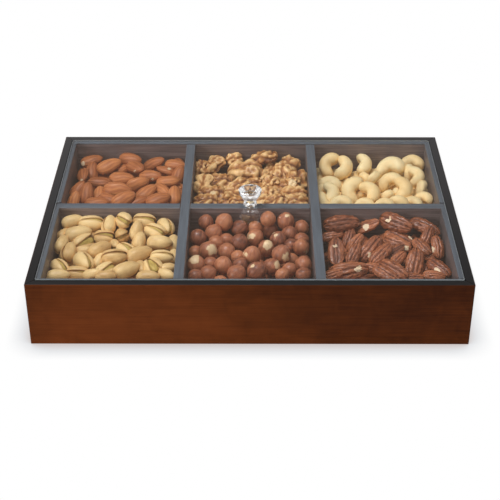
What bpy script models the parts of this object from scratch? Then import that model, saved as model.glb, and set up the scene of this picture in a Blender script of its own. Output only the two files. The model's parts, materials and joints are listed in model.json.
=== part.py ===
"""Dried fruit box: a wooden tray of six compartments under a clear lid that lifts off.

The tray stands on Z = 0 with its front face towards -Y and its length along X. Four mitred
boards make the outside. Thinner boards line them and stop below the rim, so that their top
edges are the ledge that the lid lies on. A long divider and two cross dividers, lapped into
each other, stand on the base panel. A screw through the lid holds a faceted crystal knob.
All sizes are in metres.
"""

import math

import bmesh
import bpy
from mathutils import Matrix, Vector

# Whole box, without the knob
BOX_LENGTH = 0.350
BOX_DEPTH = 0.250
BOX_HEIGHT = 0.057

# Clearances
FIT_GAP = 0.0003
LID_PLAY = 0.0005
CUT_OVERRUN = 0.002

# Outer boards
BOARD_THICKNESS = 0.0068
BOARD_CORNER_ROUND = 0.0014
BOARD_TOP_ROUND = 0.0008
BOARD_INNER_ROUND = 0.0004
BOARD_FOOT_ROUND = 0.0006
REBATE_WIDTH = 0.0030

# Base panel, let into the boards' rebate and flush with their undersides
BASE_THICKNESS = 0.0040
BASE_EDGE_ROUND = 0.0005

# Liner boards
LINER_THICKNESS = 0.0042
LINER_EDGE_ROUND = 0.0004
SEAT_DEPTH = 0.0030

# Dividers
DIVIDER_THICKNESS = 0.0082
DIVIDER_DROP = 0.0010
DIVIDER_EDGE_ROUND = 0.0005
COLUMNS = 3

# Lid panel
LID_THICKNESS = 0.0030
LID_CORNER_ROUND = 0.0016
LID_EDGE_CHAMFER = 0.0004

# Knob, measured up from the underside of its foot; its axis stands in front of the lid's middle
KNOB_FORWARD = 0.0023
KNOB_FACETS = 10
KNOB_FOOT_RADIUS = 0.0058
KNOB_FOOT_HEIGHT = 0.0024
KNOB_FOOT_ROUND = 0.0005
KNOB_NECK_RADIUS = 0.0047
KNOB_NECK_HEIGHT = 0.0034
KNOB_FLARE_RADIUS = 0.0093
KNOB_FLARE_HEIGHT = 0.0104
KNOB_GIRDLE_RADIUS = 0.00995
KNOB_GIRDLE_HEIGHT = 0.0134
KNOB_GIRDLE_BAND = 0.0008
KNOB_TABLE_RADIUS = 0.0083
KNOB_TABLE_HEIGHT = 0.0152

# Screw and threaded insert
SCREW_RADIUS = 0.0015
SCREW_HEAD_RADIUS = 0.0028
SCREW_HEAD_RIM = 0.0003
SCREW_TIP_CHAMFER = 0.0004
SCREW_REACH = 0.0052
SOCKET_RADIUS = 0.00115
SOCKET_DEPTH = 0.0011
SOCKET_SIDES = 6
INSERT_WALL = 0.0009
INSERT_LENGTH = 0.0060
INSERT_CHAMFER = 0.0003

# Facets of round shapes
ROUND_SEGMENTS = 40
EDGE_SEGMENTS = 3
SMOOTH_ANGLE = math.radians(35.0)

# Places that follow from the sizes above
LEDGE_HEIGHT = BOX_HEIGHT - SEAT_DEPTH
FLOOR_HEIGHT = BASE_THICKNESS + FIT_GAP
DIVIDER_TOP = LEDGE_HEIGHT - DIVIDER_DROP
LAP_HEIGHT = (FLOOR_HEIGHT + DIVIDER_TOP) / 2
HALF_LENGTH_IN_BOARDS = BOX_LENGTH / 2 - BOARD_THICKNESS - FIT_GAP
HALF_DEPTH_IN_BOARDS = BOX_DEPTH / 2 - BOARD_THICKNESS - FIT_GAP
HALF_LENGTH_IN_LINERS = HALF_LENGTH_IN_BOARDS - LINER_THICKNESS
HALF_DEPTH_IN_LINERS = HALF_DEPTH_IN_BOARDS - LINER_THICKNESS
COLUMN_WIDTH = (2 * HALF_LENGTH_IN_LINERS - (COLUMNS - 1) * DIVIDER_THICKNESS) / COLUMNS
DIVIDER_PITCH = COLUMN_WIDTH + DIVIDER_THICKNESS
LID_UNDERSIDE = LEDGE_HEIGHT + FIT_GAP
LID_TOP = LID_UNDERSIDE + LID_THICKNESS
KNOB_BASE = LID_TOP + FIT_GAP
INSERT_BORE = SCREW_RADIUS + FIT_GAP
INSERT_RADIUS = INSERT_BORE + INSERT_WALL


# Materials

def make_material(name, color, roughness, metallic=0.0, alpha=1.0):
    """Return a Principled material; color holds linear red, green and blue."""
    material = bpy.data.materials.new(name)
    material.use_nodes = True
    shader = material.node_tree.nodes["Principled BSDF"]
    shader.inputs["Base Color"].default_value = (*color, 1.0)
    shader.inputs["Roughness"].default_value = roughness
    shader.inputs["Metallic"].default_value = metallic
    shader.inputs["Alpha"].default_value = alpha
    return material


def stained_wood():
    """Reddish brown stained wood of the outer boards."""
    return make_material("stained_wood", (0.100, 0.030, 0.013), 0.45)


def black_wood():
    """Black stained wood of the liners and dividers."""
    return make_material("black_wood", (0.020, 0.016, 0.015), 0.50)


def black_board():
    """Black painted board of the base."""
    return make_material("black_board", (0.015, 0.013, 0.012), 0.60)


def clear_acrylic():
    """Clear sheet of the lid."""
    return make_material("clear_acrylic", (0.90, 0.92, 0.93), 0.05, alpha=0.25)


def crystal():
    """Clear crystal of the knob."""
    return make_material("crystal", (0.95, 0.96, 0.97), 0.02, alpha=0.35)


def brass():
    """Brass of the threaded insert."""
    return make_material("brass", (0.60, 0.42, 0.18), 0.30, metallic=1.0)


def steel():
    """Bright steel of the screw."""
    return make_material("steel", (0.55, 0.55, 0.56), 0.30, metallic=1.0)


# Building blocks

def clear_scene():
    """Remove every object that the new scene came with."""
    for item in list(bpy.data.objects):
        bpy.data.objects.remove(item, do_unlink=True)


def add_object(name, mesh_builder, material, parent=None, smooth=False):
    """Turn a finished bmesh into a named object with its material."""
    bmesh.ops.recalc_face_normals(mesh_builder, faces=mesh_builder.faces)
    mesh = bpy.data.meshes.new(name)
    mesh_builder.to_mesh(mesh)
    mesh_builder.free()
    if smooth:
        mesh.shade_smooth()
        mesh.set_sharp_from_angle(angle=SMOOTH_ANGLE)
    mesh.materials.append(material)
    item = bpy.data.objects.new(name, mesh)
    item.parent = parent
    bpy.context.collection.objects.link(item)
    return item


def mark_as_cutter(item):
    """Keep a cutting or joining shape out of the finished model."""
    item.hide_render = True
    item.display_type = "WIRE"


def combine(item, other, operation):
    """Cut, or join, another object into item with an exact Boolean."""
    mark_as_cutter(other)
    boolean = item.modifiers.new(other.name, "BOOLEAN")
    boolean.solver = "EXACT"
    boolean.operation = operation
    boolean.object = other


def arc_points(center, radius, start, end):
    """Points of a rounded corner, from angle start to angle end about center."""
    angles = [start + (end - start) * step / EDGE_SEGMENTS for step in range(EDGE_SEGMENTS + 1)]
    return [(center[0] + radius * math.cos(angle), center[1] + radius * math.sin(angle))
            for angle in angles]


def extrude_outline(points, place, run):
    """Make a solid from a closed outline: place gives each point in space, run its extrusion."""
    solid = bmesh.new()
    face = solid.faces.new([solid.verts.new(place(*point)) for point in points])
    swept = bmesh.ops.extrude_face_region(solid, geom=[face])
    moved = [part for part in swept["geom"] if isinstance(part, bmesh.types.BMVert)]
    bmesh.ops.translate(solid, verts=moved, vec=run)
    return solid


def box(low, high):
    """Make a rectangular solid between two opposite corners."""
    solid = bmesh.new()
    size = [top - bottom for bottom, top in zip(low, high)]
    middle = [(top + bottom) / 2 for bottom, top in zip(low, high)]
    place = Matrix.Translation(middle) @ Matrix.Diagonal((*size, 1.0))
    bmesh.ops.create_cube(solid, size=1.0, matrix=place)
    return solid


def soften(solid, edges, width, segments=EDGE_SEGMENTS):
    """Round the given edges."""
    bmesh.ops.bevel(solid, geom=edges, offset=width, segments=segments, profile=0.5,
                    affect="EDGES", material=-1)


def edges_along(solid, axis):
    """Edges that run along the axis numbered 0, 1 or 2."""
    chosen = []
    for edge in solid.edges:
        direction = (edge.verts[1].co - edge.verts[0].co).normalized()
        if abs(direction[axis]) > math.cos(SMOOTH_ANGLE):
            chosen.append(edge)
    return chosen


def level_edges(solid, height):
    """Edges that lie at one height."""
    return [edge for edge in solid.edges
            if all(abs(vert.co.z - height) < FIT_GAP / 2 for vert in edge.verts)]


def revolve(profile):
    """Turn a profile of (radius, height) points, which starts and ends on the knob's axis."""
    solid = bmesh.new()
    verts = [solid.verts.new((radius, -KNOB_FORWARD, height)) for radius, height in profile]
    edges = [solid.edges.new(pair) for pair in zip(verts, verts[1:])]
    bmesh.ops.spin(solid, geom=verts + edges, cent=(0.0, -KNOB_FORWARD, 0.0), axis=(0.0, 0.0, 1.0),
                   angle=2 * math.pi, steps=ROUND_SEGMENTS, use_merge=True)
    bmesh.ops.remove_doubles(solid, verts=solid.verts, dist=FIT_GAP / 100)
    return solid


def cut_away(solid, point, normal):
    """Cut off what lies beyond a plane and close the cut."""
    everything = solid.verts[:] + solid.edges[:] + solid.faces[:]
    cut = bmesh.ops.bisect_plane(solid, geom=everything, dist=FIT_GAP / 1000,
                                 plane_co=point, plane_no=normal, clear_outer=True)
    rim = [part for part in cut["geom_cut"] if isinstance(part, bmesh.types.BMEdge)]
    bmesh.ops.contextual_create(solid, geom=rim)


# Outer boards

def board_profile():
    """Section of an outer board as (depth in from the outer face, height) points."""
    quarter = math.pi / 2
    inner_edge = BOARD_THICKNESS - REBATE_WIDTH
    rebate_top = BASE_THICKNESS + FIT_GAP
    points = arc_points((BOARD_FOOT_ROUND, BOARD_FOOT_ROUND), BOARD_FOOT_ROUND,
                        2 * quarter, 3 * quarter)
    points += [(inner_edge, 0.0), (inner_edge, rebate_top), (BOARD_THICKNESS, rebate_top)]
    points += arc_points((BOARD_THICKNESS - BOARD_INNER_ROUND, BOX_HEIGHT - BOARD_INNER_ROUND),
                         BOARD_INNER_ROUND, 0.0, quarter)
    points += arc_points((BOARD_TOP_ROUND, BOX_HEIGHT - BOARD_TOP_ROUND), BOARD_TOP_ROUND,
                         quarter, 2 * quarter)
    return points


def cut_board_end(solid, length, side):
    """Mitre one end of a board and round the box corner that it shares."""
    toward_end = Vector((side, 0.0, 0.0))
    corner = toward_end * length / 2
    mitre_normal = (toward_end + Vector((0.0, 1.0, 0.0))).normalized()
    cut_away(solid, corner - mitre_normal * FIT_GAP / 2, mitre_normal)
    arc_center = corner - toward_end * BOARD_CORNER_ROUND + Vector((0.0, BOARD_CORNER_ROUND, 0.0))
    for step in range(EDGE_SEGMENTS):
        angle = (step + 0.5) / EDGE_SEGMENTS * math.pi / 4
        normal = Vector((side * math.sin(angle), -math.cos(angle), 0.0))
        cut_away(solid, arc_center + normal * BOARD_CORNER_ROUND, normal)


def make_board(name, length, reach, turn, material):
    """One outer board: drawn along X with its outer face on Y = 0, then turned into place."""
    solid = extrude_outline(board_profile(), lambda depth, height: (-length / 2, depth, height),
                            (length, 0.0, 0.0))
    for side in (-1, 1):
        cut_board_end(solid, length, side)
    place = Matrix.Rotation(turn, 4, "Z") @ Matrix.Translation((0.0, -reach, 0.0))
    bmesh.ops.transform(solid, matrix=place, verts=solid.verts)
    return add_object(name, solid, material)


def make_outer_boards():
    """The four mitred boards, each a quarter turn from the last."""
    material = stained_wood()
    quarter = math.pi / 2
    make_board("front_board", BOX_LENGTH, BOX_DEPTH / 2, 0.0, material)
    make_board("right_board", BOX_DEPTH, BOX_LENGTH / 2, quarter, material)
    make_board("back_board", BOX_LENGTH, BOX_DEPTH / 2, 2 * quarter, material)
    make_board("left_board", BOX_DEPTH, BOX_LENGTH / 2, 3 * quarter, material)


# Base and liners

def make_base():
    """Base panel in the rebate that runs round the boards."""
    inset = BOARD_THICKNESS - REBATE_WIDTH + FIT_GAP
    half_length = BOX_LENGTH / 2 - inset
    half_depth = BOX_DEPTH / 2 - inset
    solid = box((-half_length, -half_depth, 0.0), (half_length, half_depth, BASE_THICKNESS))
    soften(solid, edges_along(solid, 2), BASE_EDGE_ROUND)
    add_object("base_panel", solid, black_board())


def make_liner(name, low, high, material):
    """One liner board from the base up to the ledge, with its top edges softened."""
    solid = box((*low, FLOOR_HEIGHT), (*high, LEDGE_HEIGHT))
    soften(solid, level_edges(solid, LEDGE_HEIGHT), LINER_EDGE_ROUND, segments=2)
    add_object(name, solid, material)


def make_liners(material):
    """Full-length liners at front and back, and half liners each side of the long divider."""
    for name, side in (("front_liner", -1), ("back_liner", 1)):
        rows = sorted((side * HALF_DEPTH_IN_LINERS, side * HALF_DEPTH_IN_BOARDS))
        make_liner(name, (-HALF_LENGTH_IN_BOARDS, rows[0]), (HALF_LENGTH_IN_BOARDS, rows[1]),
                   material)
    near = DIVIDER_THICKNESS / 2 + FIT_GAP
    far = HALF_DEPTH_IN_LINERS - FIT_GAP
    for side_name, side in (("left", -1), ("right", 1)):
        columns = sorted((side * HALF_LENGTH_IN_LINERS, side * HALF_LENGTH_IN_BOARDS))
        for end_name, end in (("front", -1), ("back", 1)):
            rows = sorted((end * near, end * far))
            make_liner(f"{side_name}_liner_{end_name}", (columns[0], rows[0]),
                       (columns[1], rows[1]), material)


# Dividers

def comb_outline(half_length, slots, from_top):
    """Side view of a divider with a lapping slot at each place in slots, from top or bottom."""
    half_slot = DIVIDER_THICKNESS / 2 + FIT_GAP
    whole_edge = FLOOR_HEIGHT if from_top else DIVIDER_TOP
    slotted_edge = DIVIDER_TOP if from_top else FLOOR_HEIGHT
    slot_end = LAP_HEIGHT - FIT_GAP / 2 if from_top else LAP_HEIGHT + FIT_GAP / 2
    points = [(half_length, whole_edge), (-half_length, whole_edge), (-half_length, slotted_edge)]
    for slot in sorted(slots):
        points += [(slot - half_slot, slotted_edge), (slot - half_slot, slot_end)]
        points += [(slot + half_slot, slot_end), (slot + half_slot, slotted_edge)]
    points.append((half_length, slotted_edge))
    return points


def make_divider(name, outline, place, run, material):
    """One divider from its side view, with the edges of its top softened."""
    solid = extrude_outline(outline, place, run)
    soften(solid, level_edges(solid, DIVIDER_TOP), DIVIDER_EDGE_ROUND, segments=2)
    add_object(name, solid, material)


def make_dividers(material):
    """A long divider between the outer boards, lapped under two cross dividers."""
    half = DIVIDER_THICKNESS / 2
    cross_places = (-DIVIDER_PITCH / 2, DIVIDER_PITCH / 2)
    make_divider("long_divider", comb_outline(HALF_LENGTH_IN_BOARDS, cross_places, from_top=True),
                 lambda along, height: (along, -half, height), (0.0, DIVIDER_THICKNESS, 0.0),
                 material)
    cross_outline = comb_outline(HALF_DEPTH_IN_LINERS - FIT_GAP, (0.0,), from_top=False)
    for name, middle in zip(("cross_divider_left", "cross_divider_right"), cross_places):
        make_divider(name, cross_outline,
                     lambda along, height, low=middle - half: (low, along, height),
                     (DIVIDER_THICKNESS, 0.0, 0.0), material)


# Lid, knob and fixings

def countersunk_profile(clearance, bottom, top):
    """Profile of the screw's head and shank, grown by clearance and run from bottom to top."""
    head = SCREW_HEAD_RADIUS + clearance
    shank = SCREW_RADIUS + clearance
    rim_top = LID_UNDERSIDE + SCREW_HEAD_RIM
    return [(0.0, bottom), (head, bottom), (head, rim_top), (shank, rim_top + head - shank),
            (shank, top)]


def make_lid(lift):
    """Clear sheet with rounded corners, polished edges and a countersunk hole."""
    half_length = HALF_LENGTH_IN_BOARDS + FIT_GAP - LID_PLAY
    half_depth = HALF_DEPTH_IN_BOARDS + FIT_GAP - LID_PLAY
    solid = box((-half_length, -half_depth, LID_UNDERSIDE), (half_length, half_depth, LID_TOP))
    soften(solid, edges_along(solid, 2), LID_CORNER_ROUND)
    flat_edges = level_edges(solid, LID_UNDERSIDE) + level_edges(solid, LID_TOP)
    soften(solid, flat_edges, LID_EDGE_CHAMFER, segments=1)
    lid = add_object("lid_panel", solid, clear_acrylic(), lift)
    top = LID_TOP + CUT_OVERRUN
    profile = countersunk_profile(FIT_GAP, LID_UNDERSIDE - CUT_OVERRUN, top)
    hole = add_object("lid_hole", revolve(profile + [(0.0, top)]), steel(), lift)
    combine(lid, hole, "DIFFERENCE")


def ring_points(count, radius, height, turn_share):
    """Points of a facet ring; turn_share turns it by that share of one step."""
    step = 2 * math.pi / count
    angles = [(index + turn_share) * step for index in range(count)]
    return [(radius * math.cos(angle), radius * math.sin(angle) - KNOB_FORWARD, KNOB_BASE + height)
            for angle in angles]


def make_knob_head():
    """Faceted head: the hull of its facet corners, with flat facets made whole again."""
    girdle_top = KNOB_GIRDLE_HEIGHT + KNOB_GIRDLE_BAND
    corners = ring_points(KNOB_FACETS, KNOB_NECK_RADIUS, KNOB_NECK_HEIGHT, 0.0)
    corners += ring_points(KNOB_FACETS, KNOB_FLARE_RADIUS, KNOB_FLARE_HEIGHT, 0.5)
    corners += ring_points(2 * KNOB_FACETS, KNOB_GIRDLE_RADIUS, KNOB_GIRDLE_HEIGHT, 0.0)
    corners += ring_points(2 * KNOB_FACETS, KNOB_GIRDLE_RADIUS, girdle_top, 0.0)
    corners += ring_points(KNOB_FACETS, KNOB_TABLE_RADIUS, KNOB_TABLE_HEIGHT, 0.0)
    solid = bmesh.new()
    bmesh.ops.convex_hull(solid, input=[solid.verts.new(corner) for corner in corners])
    bmesh.ops.dissolve_limit(solid, angle_limit=math.radians(1.0), verts=solid.verts,
                             edges=solid.edges)
    return solid


def make_knob_foot():
    """Turned foot whose stem runs up into the head."""
    stem = KNOB_NECK_RADIUS * math.cos(math.pi / KNOB_FACETS) - FIT_GAP
    foot_side = KNOB_FOOT_RADIUS - KNOB_FOOT_ROUND
    lower = arc_points((foot_side, KNOB_FOOT_ROUND), KNOB_FOOT_ROUND, -math.pi / 2, 0.0)
    upper = arc_points((foot_side, KNOB_FOOT_HEIGHT - KNOB_FOOT_ROUND), KNOB_FOOT_ROUND,
                       0.0, math.pi / 2)
    top = (KNOB_FLARE_HEIGHT + KNOB_NECK_HEIGHT) / 2
    profile = [(0.0, 0.0)] + lower + upper + [(stem, KNOB_NECK_HEIGHT), (stem, top), (0.0, top)]
    return revolve([(radius, KNOB_BASE + height) for radius, height in profile])


def make_knob(lift):
    """Crystal knob: faceted head on a turned foot, bored from below for its insert."""
    material = crystal()
    knob = add_object("knob", make_knob_head(), material, lift)
    foot = add_object("knob_foot", make_knob_foot(), material, lift, smooth=True)
    radius = INSERT_RADIUS + FIT_GAP
    bottom = KNOB_BASE - CUT_OVERRUN
    top = KNOB_BASE + INSERT_LENGTH + 2 * FIT_GAP
    profile = [(0.0, bottom), (radius, bottom), (radius, top), (0.0, top)]
    bore = add_object("knob_bore", revolve(profile), material, lift, smooth=True)
    combine(knob, foot, "UNION")
    combine(knob, bore, "DIFFERENCE")


def make_insert(lift):
    """Brass bush with chamfered ends, open right through."""
    low = KNOB_BASE + FIT_GAP
    high = low + INSERT_LENGTH
    outer = INSERT_RADIUS - INSERT_CHAMFER
    profile = [(INSERT_BORE, low), (outer, low), (INSERT_RADIUS, low + INSERT_CHAMFER),
               (INSERT_RADIUS, high - INSERT_CHAMFER), (outer, high), (INSERT_BORE, high)]
    add_object("knob_insert", revolve(profile + profile[:1]), brass(), lift, smooth=True)


def make_screw(lift):
    """Countersunk screw, flush under the lid, with a hexagonal socket."""
    tip = KNOB_BASE + SCREW_REACH
    profile = countersunk_profile(0.0, LID_UNDERSIDE, tip - SCREW_TIP_CHAMFER)
    profile += [(SCREW_RADIUS - SCREW_TIP_CHAMFER, tip), (0.0, tip)]
    screw = add_object("knob_screw", revolve(profile), steel(), lift, smooth=True)
    solid = bmesh.new()
    length = SOCKET_DEPTH + CUT_OVERRUN
    place = Matrix.Translation((0.0, -KNOB_FORWARD, LID_UNDERSIDE + SOCKET_DEPTH - length / 2))
    bmesh.ops.create_cone(solid, cap_ends=True, segments=SOCKET_SIDES, radius1=SOCKET_RADIUS,
                          radius2=SOCKET_RADIUS, depth=length, matrix=place)
    socket = add_object("screw_socket", solid, steel(), lift)
    combine(screw, socket, "DIFFERENCE")


def make_lift():
    """Empty on the line along which the lid lifts off."""
    lift = bpy.data.objects.new("lid_lift", None)
    bpy.context.collection.objects.link(lift)
    return lift


def main():
    """Build the tray, then the lid with its knob."""
    clear_scene()
    black = black_wood()
    make_outer_boards()
    make_base()
    make_liners(black)
    make_dividers(black)
    lift = make_lift()
    make_lid(lift)
    make_knob(lift)
    make_insert(lift)
    make_screw(lift)


if __name__ == "__main__":
    main()
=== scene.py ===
import json
import logging
import math
import random
from dataclasses import dataclass
from enum import Enum
from typing import Mapping, Optional, Sequence, Union

import bmesh
import bpy
import numpy as np
from mathutils import Matrix, Vector, noise


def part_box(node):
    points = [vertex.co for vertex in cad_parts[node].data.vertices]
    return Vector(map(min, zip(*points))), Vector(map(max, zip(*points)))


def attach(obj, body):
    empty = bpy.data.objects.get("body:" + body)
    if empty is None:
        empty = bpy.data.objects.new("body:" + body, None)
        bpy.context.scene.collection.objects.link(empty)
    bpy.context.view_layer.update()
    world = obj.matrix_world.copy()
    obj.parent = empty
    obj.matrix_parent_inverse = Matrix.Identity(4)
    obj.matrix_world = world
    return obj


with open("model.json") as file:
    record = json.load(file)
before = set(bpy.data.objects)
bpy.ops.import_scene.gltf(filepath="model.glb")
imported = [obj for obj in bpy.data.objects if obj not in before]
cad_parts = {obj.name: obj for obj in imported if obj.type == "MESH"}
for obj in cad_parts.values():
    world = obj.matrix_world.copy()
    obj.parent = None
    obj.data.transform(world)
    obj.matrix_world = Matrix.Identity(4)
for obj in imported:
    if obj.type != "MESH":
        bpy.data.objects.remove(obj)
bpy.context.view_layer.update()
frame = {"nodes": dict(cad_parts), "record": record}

logging.basicConfig(level=logging.INFO, format="%(message)s")
LOG = logging.getLogger("nut_box")

MM = 0.001
PHOTO_SIDE = 500          # the photograph's width and height in pixels
SENSOR_WIDTH = 36.0       # millimetres
ACRYLIC_IOR = 1.49
SURFACE_IOR = 1.45        # lacquer, stain and the nuts' oily skins
WHITE = (1.0, 1.0, 1.0, 1.0)

Feed = Union[bpy.types.NodeSocket, float, Sequence[float]]


def linear(hex_colour: str) -> tuple[float, float, float, float]:
    """Turns an sRGB hex colour into the linear one that the shaders take.

    Args:
        hex_colour: six hex digits after a hash sign.

    Returns:
        Red, green, blue and an alpha of one.
    """
    parts = [int(hex_colour[i:i + 2], 16) / 255 for i in (1, 3, 5)]
    lin = [c / 12.92 if c <= 0.04045 else ((c + 0.055) / 1.055) ** 2.4 for c in parts]
    return lin[0], lin[1], lin[2], 1.0


def put(tree: bpy.types.NodeTree, kind: str, feeds: Optional[Mapping[Union[str, int], Feed]] = None,
        stops: Sequence[tuple[float, str]] = (), **settings: object) -> bpy.types.Node:
    """Adds a node with its settings and links.

    Args:
        tree: the node tree that takes the node.
        kind: Blender's name for the kind of node.
        feeds: for each input, a socket to link or a value to set.
        stops: the places and colours of a colour ramp.
        settings: the node's own settings.

    Returns:
        The new node.
    """
    made = tree.nodes.new(kind)
    for name, value in settings.items():
        setattr(made, name, value)
    for key, feed in (feeds or {}).items():
        if isinstance(feed, bpy.types.NodeSocket):
            tree.links.new(feed, made.inputs[key])
        else:
            made.inputs[key].default_value = feed
    if stops:
        ramp = made.color_ramp
        while len(ramp.elements) < len(stops):
            ramp.elements.new(1.0)
        for element, (place, colour) in zip(ramp.elements, stops):
            element.position = place
            element.color = linear(colour)
    return made


def start_material(name: str) -> tuple[bpy.types.Material, bpy.types.NodeTree, bpy.types.Node]:
    """Starts a material that holds only its output node.

    Args:
        name: the finish's name.

    Returns:
        The material, its node tree and its output node.
    """
    material = bpy.data.materials.new(name)
    material.use_nodes = True
    tree = material.node_tree
    tree.nodes.clear()
    return material, tree, tree.nodes.new("ShaderNodeOutputMaterial")


class Grain(Enum):
    """The way that a board's grain runs, as the axis that it follows."""

    ALONG_LENGTH = 0
    ALONG_DEPTH = 1

    def stretch(self, along: float, across: float) -> tuple[float, float, float]:
        """Gives a Mapping scale that is coarse along the grain.

        Args:
            along: patterns per metre along the grain.
            across: patterns per metre across it.

        Returns:
            The scale on each axis.
        """
        scale = [across, across, across]
        scale[self.value] = along
        return scale[0], scale[1], scale[2]


@dataclass(frozen=True)
class StainedWood:
    """Beech boards, planed and sanded, wiped with a reddish brown stain under satin lacquer.

    The eye sees fine, slightly wavy grain that runs along each board, soft darker clouds where
    the stain soaked in, more of them at the left end, and charcoal paint on the rim and on the
    faces inside it. Painted light and shade: the wood goes from lighter at the left to darker at
    the right, and darker towards the top, and the back rim's paint is a paler painted sheen.
    """

    grain: Grain
    outer_face: float                 # distance of the board's outer face from the centre
    paint_from: float = 0.0567        # height where the rim's paint starts
    board: float = 0.0064             # the paint starts this far in from the outer face
    fade: float = 0.3 * MM            # height over which the paint begins
    dark: str = "#3B1A09"
    mid: str = "#5B2C0F"
    light: str = "#753A18"
    paint: str = "#161516"
    back_rim_painted_sheen: str = "#3A393A"       # painted sheen: the back rim's paint is paler, for the sky that it reflects
    wood_gloss: float = 0.06
    paint_gloss: float = 0.25
    streak_length: float = 70 * MM
    streak_width: float = 2.2 * MM
    pore_width: float = 0.7 * MM
    cloud: float = 60 * MM
    curl: float = 14 * MM             # bands across the grain, where the fibres wave
    left_end: float = -0.175
    soak: float = 22 * MM             # how far from the left end the stain is darker
    top_painted_darker: float = -2.8          # painted shade: change of tone per metre of height, darker towards the top
    by_streak: float = 0.36           # how far each pattern moves the tone
    by_cloud: float = 0.42
    by_curl: float = 0.16
    by_pore: float = 0.14
    by_soak: float = -0.16
    painted_light_tones: tuple[float, float] = (0.15, -0.13)            # painted light and shade: the tone at the left and at the right of the span
    painted_light_span: tuple[float, float] = (-0.08, 0.11)           # painted light and shade: from where to where the wood goes from lighter to darker
    rim_painted_sheen_ends: tuple[float, float] = (-0.12, 0.12)         # front and back of the rim's paint, between which the painted sheen grows
    lacquer: tuple[float, float] = (0.46, 0.58)           # roughness, least and most

    def make(self) -> bpy.types.Material:
        """Builds the material.

        Returns:
            The material for one board.
        """
        material, tree, output = start_material(f"stained_beech_{self.grain.name.lower()}")
        spot = put(tree, "ShaderNodeTexCoord").outputs["Object"]
        parts = put(tree, "ShaderNodeSeparateXYZ", {0: spot})
        streaks = self._pattern(tree, spot, 1 / self.streak_length, 1 / self.streak_width, 4.0, 0.9)
        pores = self._pattern(tree, spot, 1 / (self.streak_length * 0.2), 1 / self.pore_width, 2.0, 0.5)
        clouds = self._pattern(tree, spot, 1 / self.cloud, 1 / (self.cloud * 0.5), 2.0, 0.6)
        curl = self._pattern(tree, spot, 1 / self.curl, 1 / (self.curl * 1.5), 1.0, 1.2)
        soaked = put(tree, "ShaderNodeMapRange", {
            "Value": parts.outputs["X"], "From Min": self.left_end + self.soak,
            "From Max": self.left_end}).outputs[0]
        # painted light and shade: the tone falls from the left of the box to its right
        drift = put(tree, "ShaderNodeMapRange", {
            "Value": parts.outputs["X"], "From Min": self.painted_light_span[0], "From Max": self.painted_light_span[1],
            "To Min": self.painted_light_tones[0], "To Max": self.painted_light_tones[1]}, interpolation_type="SMOOTHSTEP")
        tone = drift.outputs[0]
        # the last pattern, height, is painted shade: the wood darkens towards the top
        for pattern, weight in ((streaks, self.by_streak), (clouds, self.by_cloud), (curl, self.by_curl),
                                (pores, self.by_pore), (soaked, self.by_soak),
                                (parts.outputs["Z"], self.top_painted_darker)):
            tone = put(tree, "ShaderNodeMath", {0: pattern, 1: weight, 2: tone},
                       operation="MULTIPLY_ADD").outputs[0]
        wood = put(tree, "ShaderNodeValToRGB", {0: tone},
                   stops=((0.2, self.dark), (0.48, self.mid), (0.8, self.light)))
        above = put(tree, "ShaderNodeMapRange", {"Value": parts.outputs["Z"], "From Min": self.paint_from,
                                                 "From Max": self.paint_from + self.fade})
        side = parts.outputs["Y" if self.grain is Grain.ALONG_LENGTH else "X"]
        reach = put(tree, "ShaderNodeMath", {0: side}, operation="ABSOLUTE")
        inside = put(tree, "ShaderNodeMath", {0: reach.outputs[0], 1: self.outer_face - self.board},
                     operation="LESS_THAN")
        painted = put(tree, "ShaderNodeMath", {0: above.outputs[0], 1: inside.outputs[0]}, operation="MAXIMUM")
        # painted sheen: the rim's paint goes from the front's dark tone to the back's paler one
        paint = put(tree, "ShaderNodeMapRange", {
            "Value": parts.outputs["Y"], "From Min": self.rim_painted_sheen_ends[0], "From Max": self.rim_painted_sheen_ends[1]})
        shade = put(tree, "ShaderNodeValToRGB", {0: paint.outputs[0]},
                    stops=((0.0, self.paint), (1.0, self.back_rim_painted_sheen)))
        colour = put(tree, "ShaderNodeMix", {"Factor": painted.outputs[0], 6: wood.outputs[0],
                                             7: shade.outputs[0]}, data_type="RGBA")
        rough = put(tree, "ShaderNodeMapRange", {"Value": streaks, "To Min": self.lacquer[0],
                                                 "To Max": self.lacquer[1]})
        bump = put(tree, "ShaderNodeBump", {"Strength": 0.35, "Distance": 0.1 * MM, "Height": tone})
        sheen = put(tree, "ShaderNodeMapRange", {"Value": painted.outputs[0], "To Min": self.wood_gloss,
                                                 "To Max": self.paint_gloss})
        shader = put(tree, "ShaderNodeBsdfPrincipled", {
            "Base Color": colour.outputs[2], "Roughness": rough.outputs[0], "Normal": bump.outputs[0],
            "IOR": SURFACE_IOR, "Specular IOR Level": sheen.outputs[0]})
        tree.links.new(shader.outputs[0], output.inputs[0])
        return material

    def _pattern(self, tree: bpy.types.NodeTree, spot: bpy.types.NodeSocket, along: float,
                 across: float, detail: float, wave: float) -> bpy.types.NodeSocket:
        """Adds a noise stretched along the grain.

        Args:
            tree: the material's tree.
            spot: object coordinates.
            along: patterns per metre along the grain.
            across: patterns per metre across it.
            detail: how many finer layers the noise has.
            wave: how far it winds, in patterns.

        Returns:
            The noise's value.
        """
        placed = put(tree, "ShaderNodeMapping", {"Vector": spot, "Scale": self.grain.stretch(along, across)})
        return put(tree, "ShaderNodeTexNoise", {"Vector": placed.outputs[0], "Scale": 1.0, "Detail": detail,
                                                "Roughness": 0.6, "Distortion": wave}).outputs[0]


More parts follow.
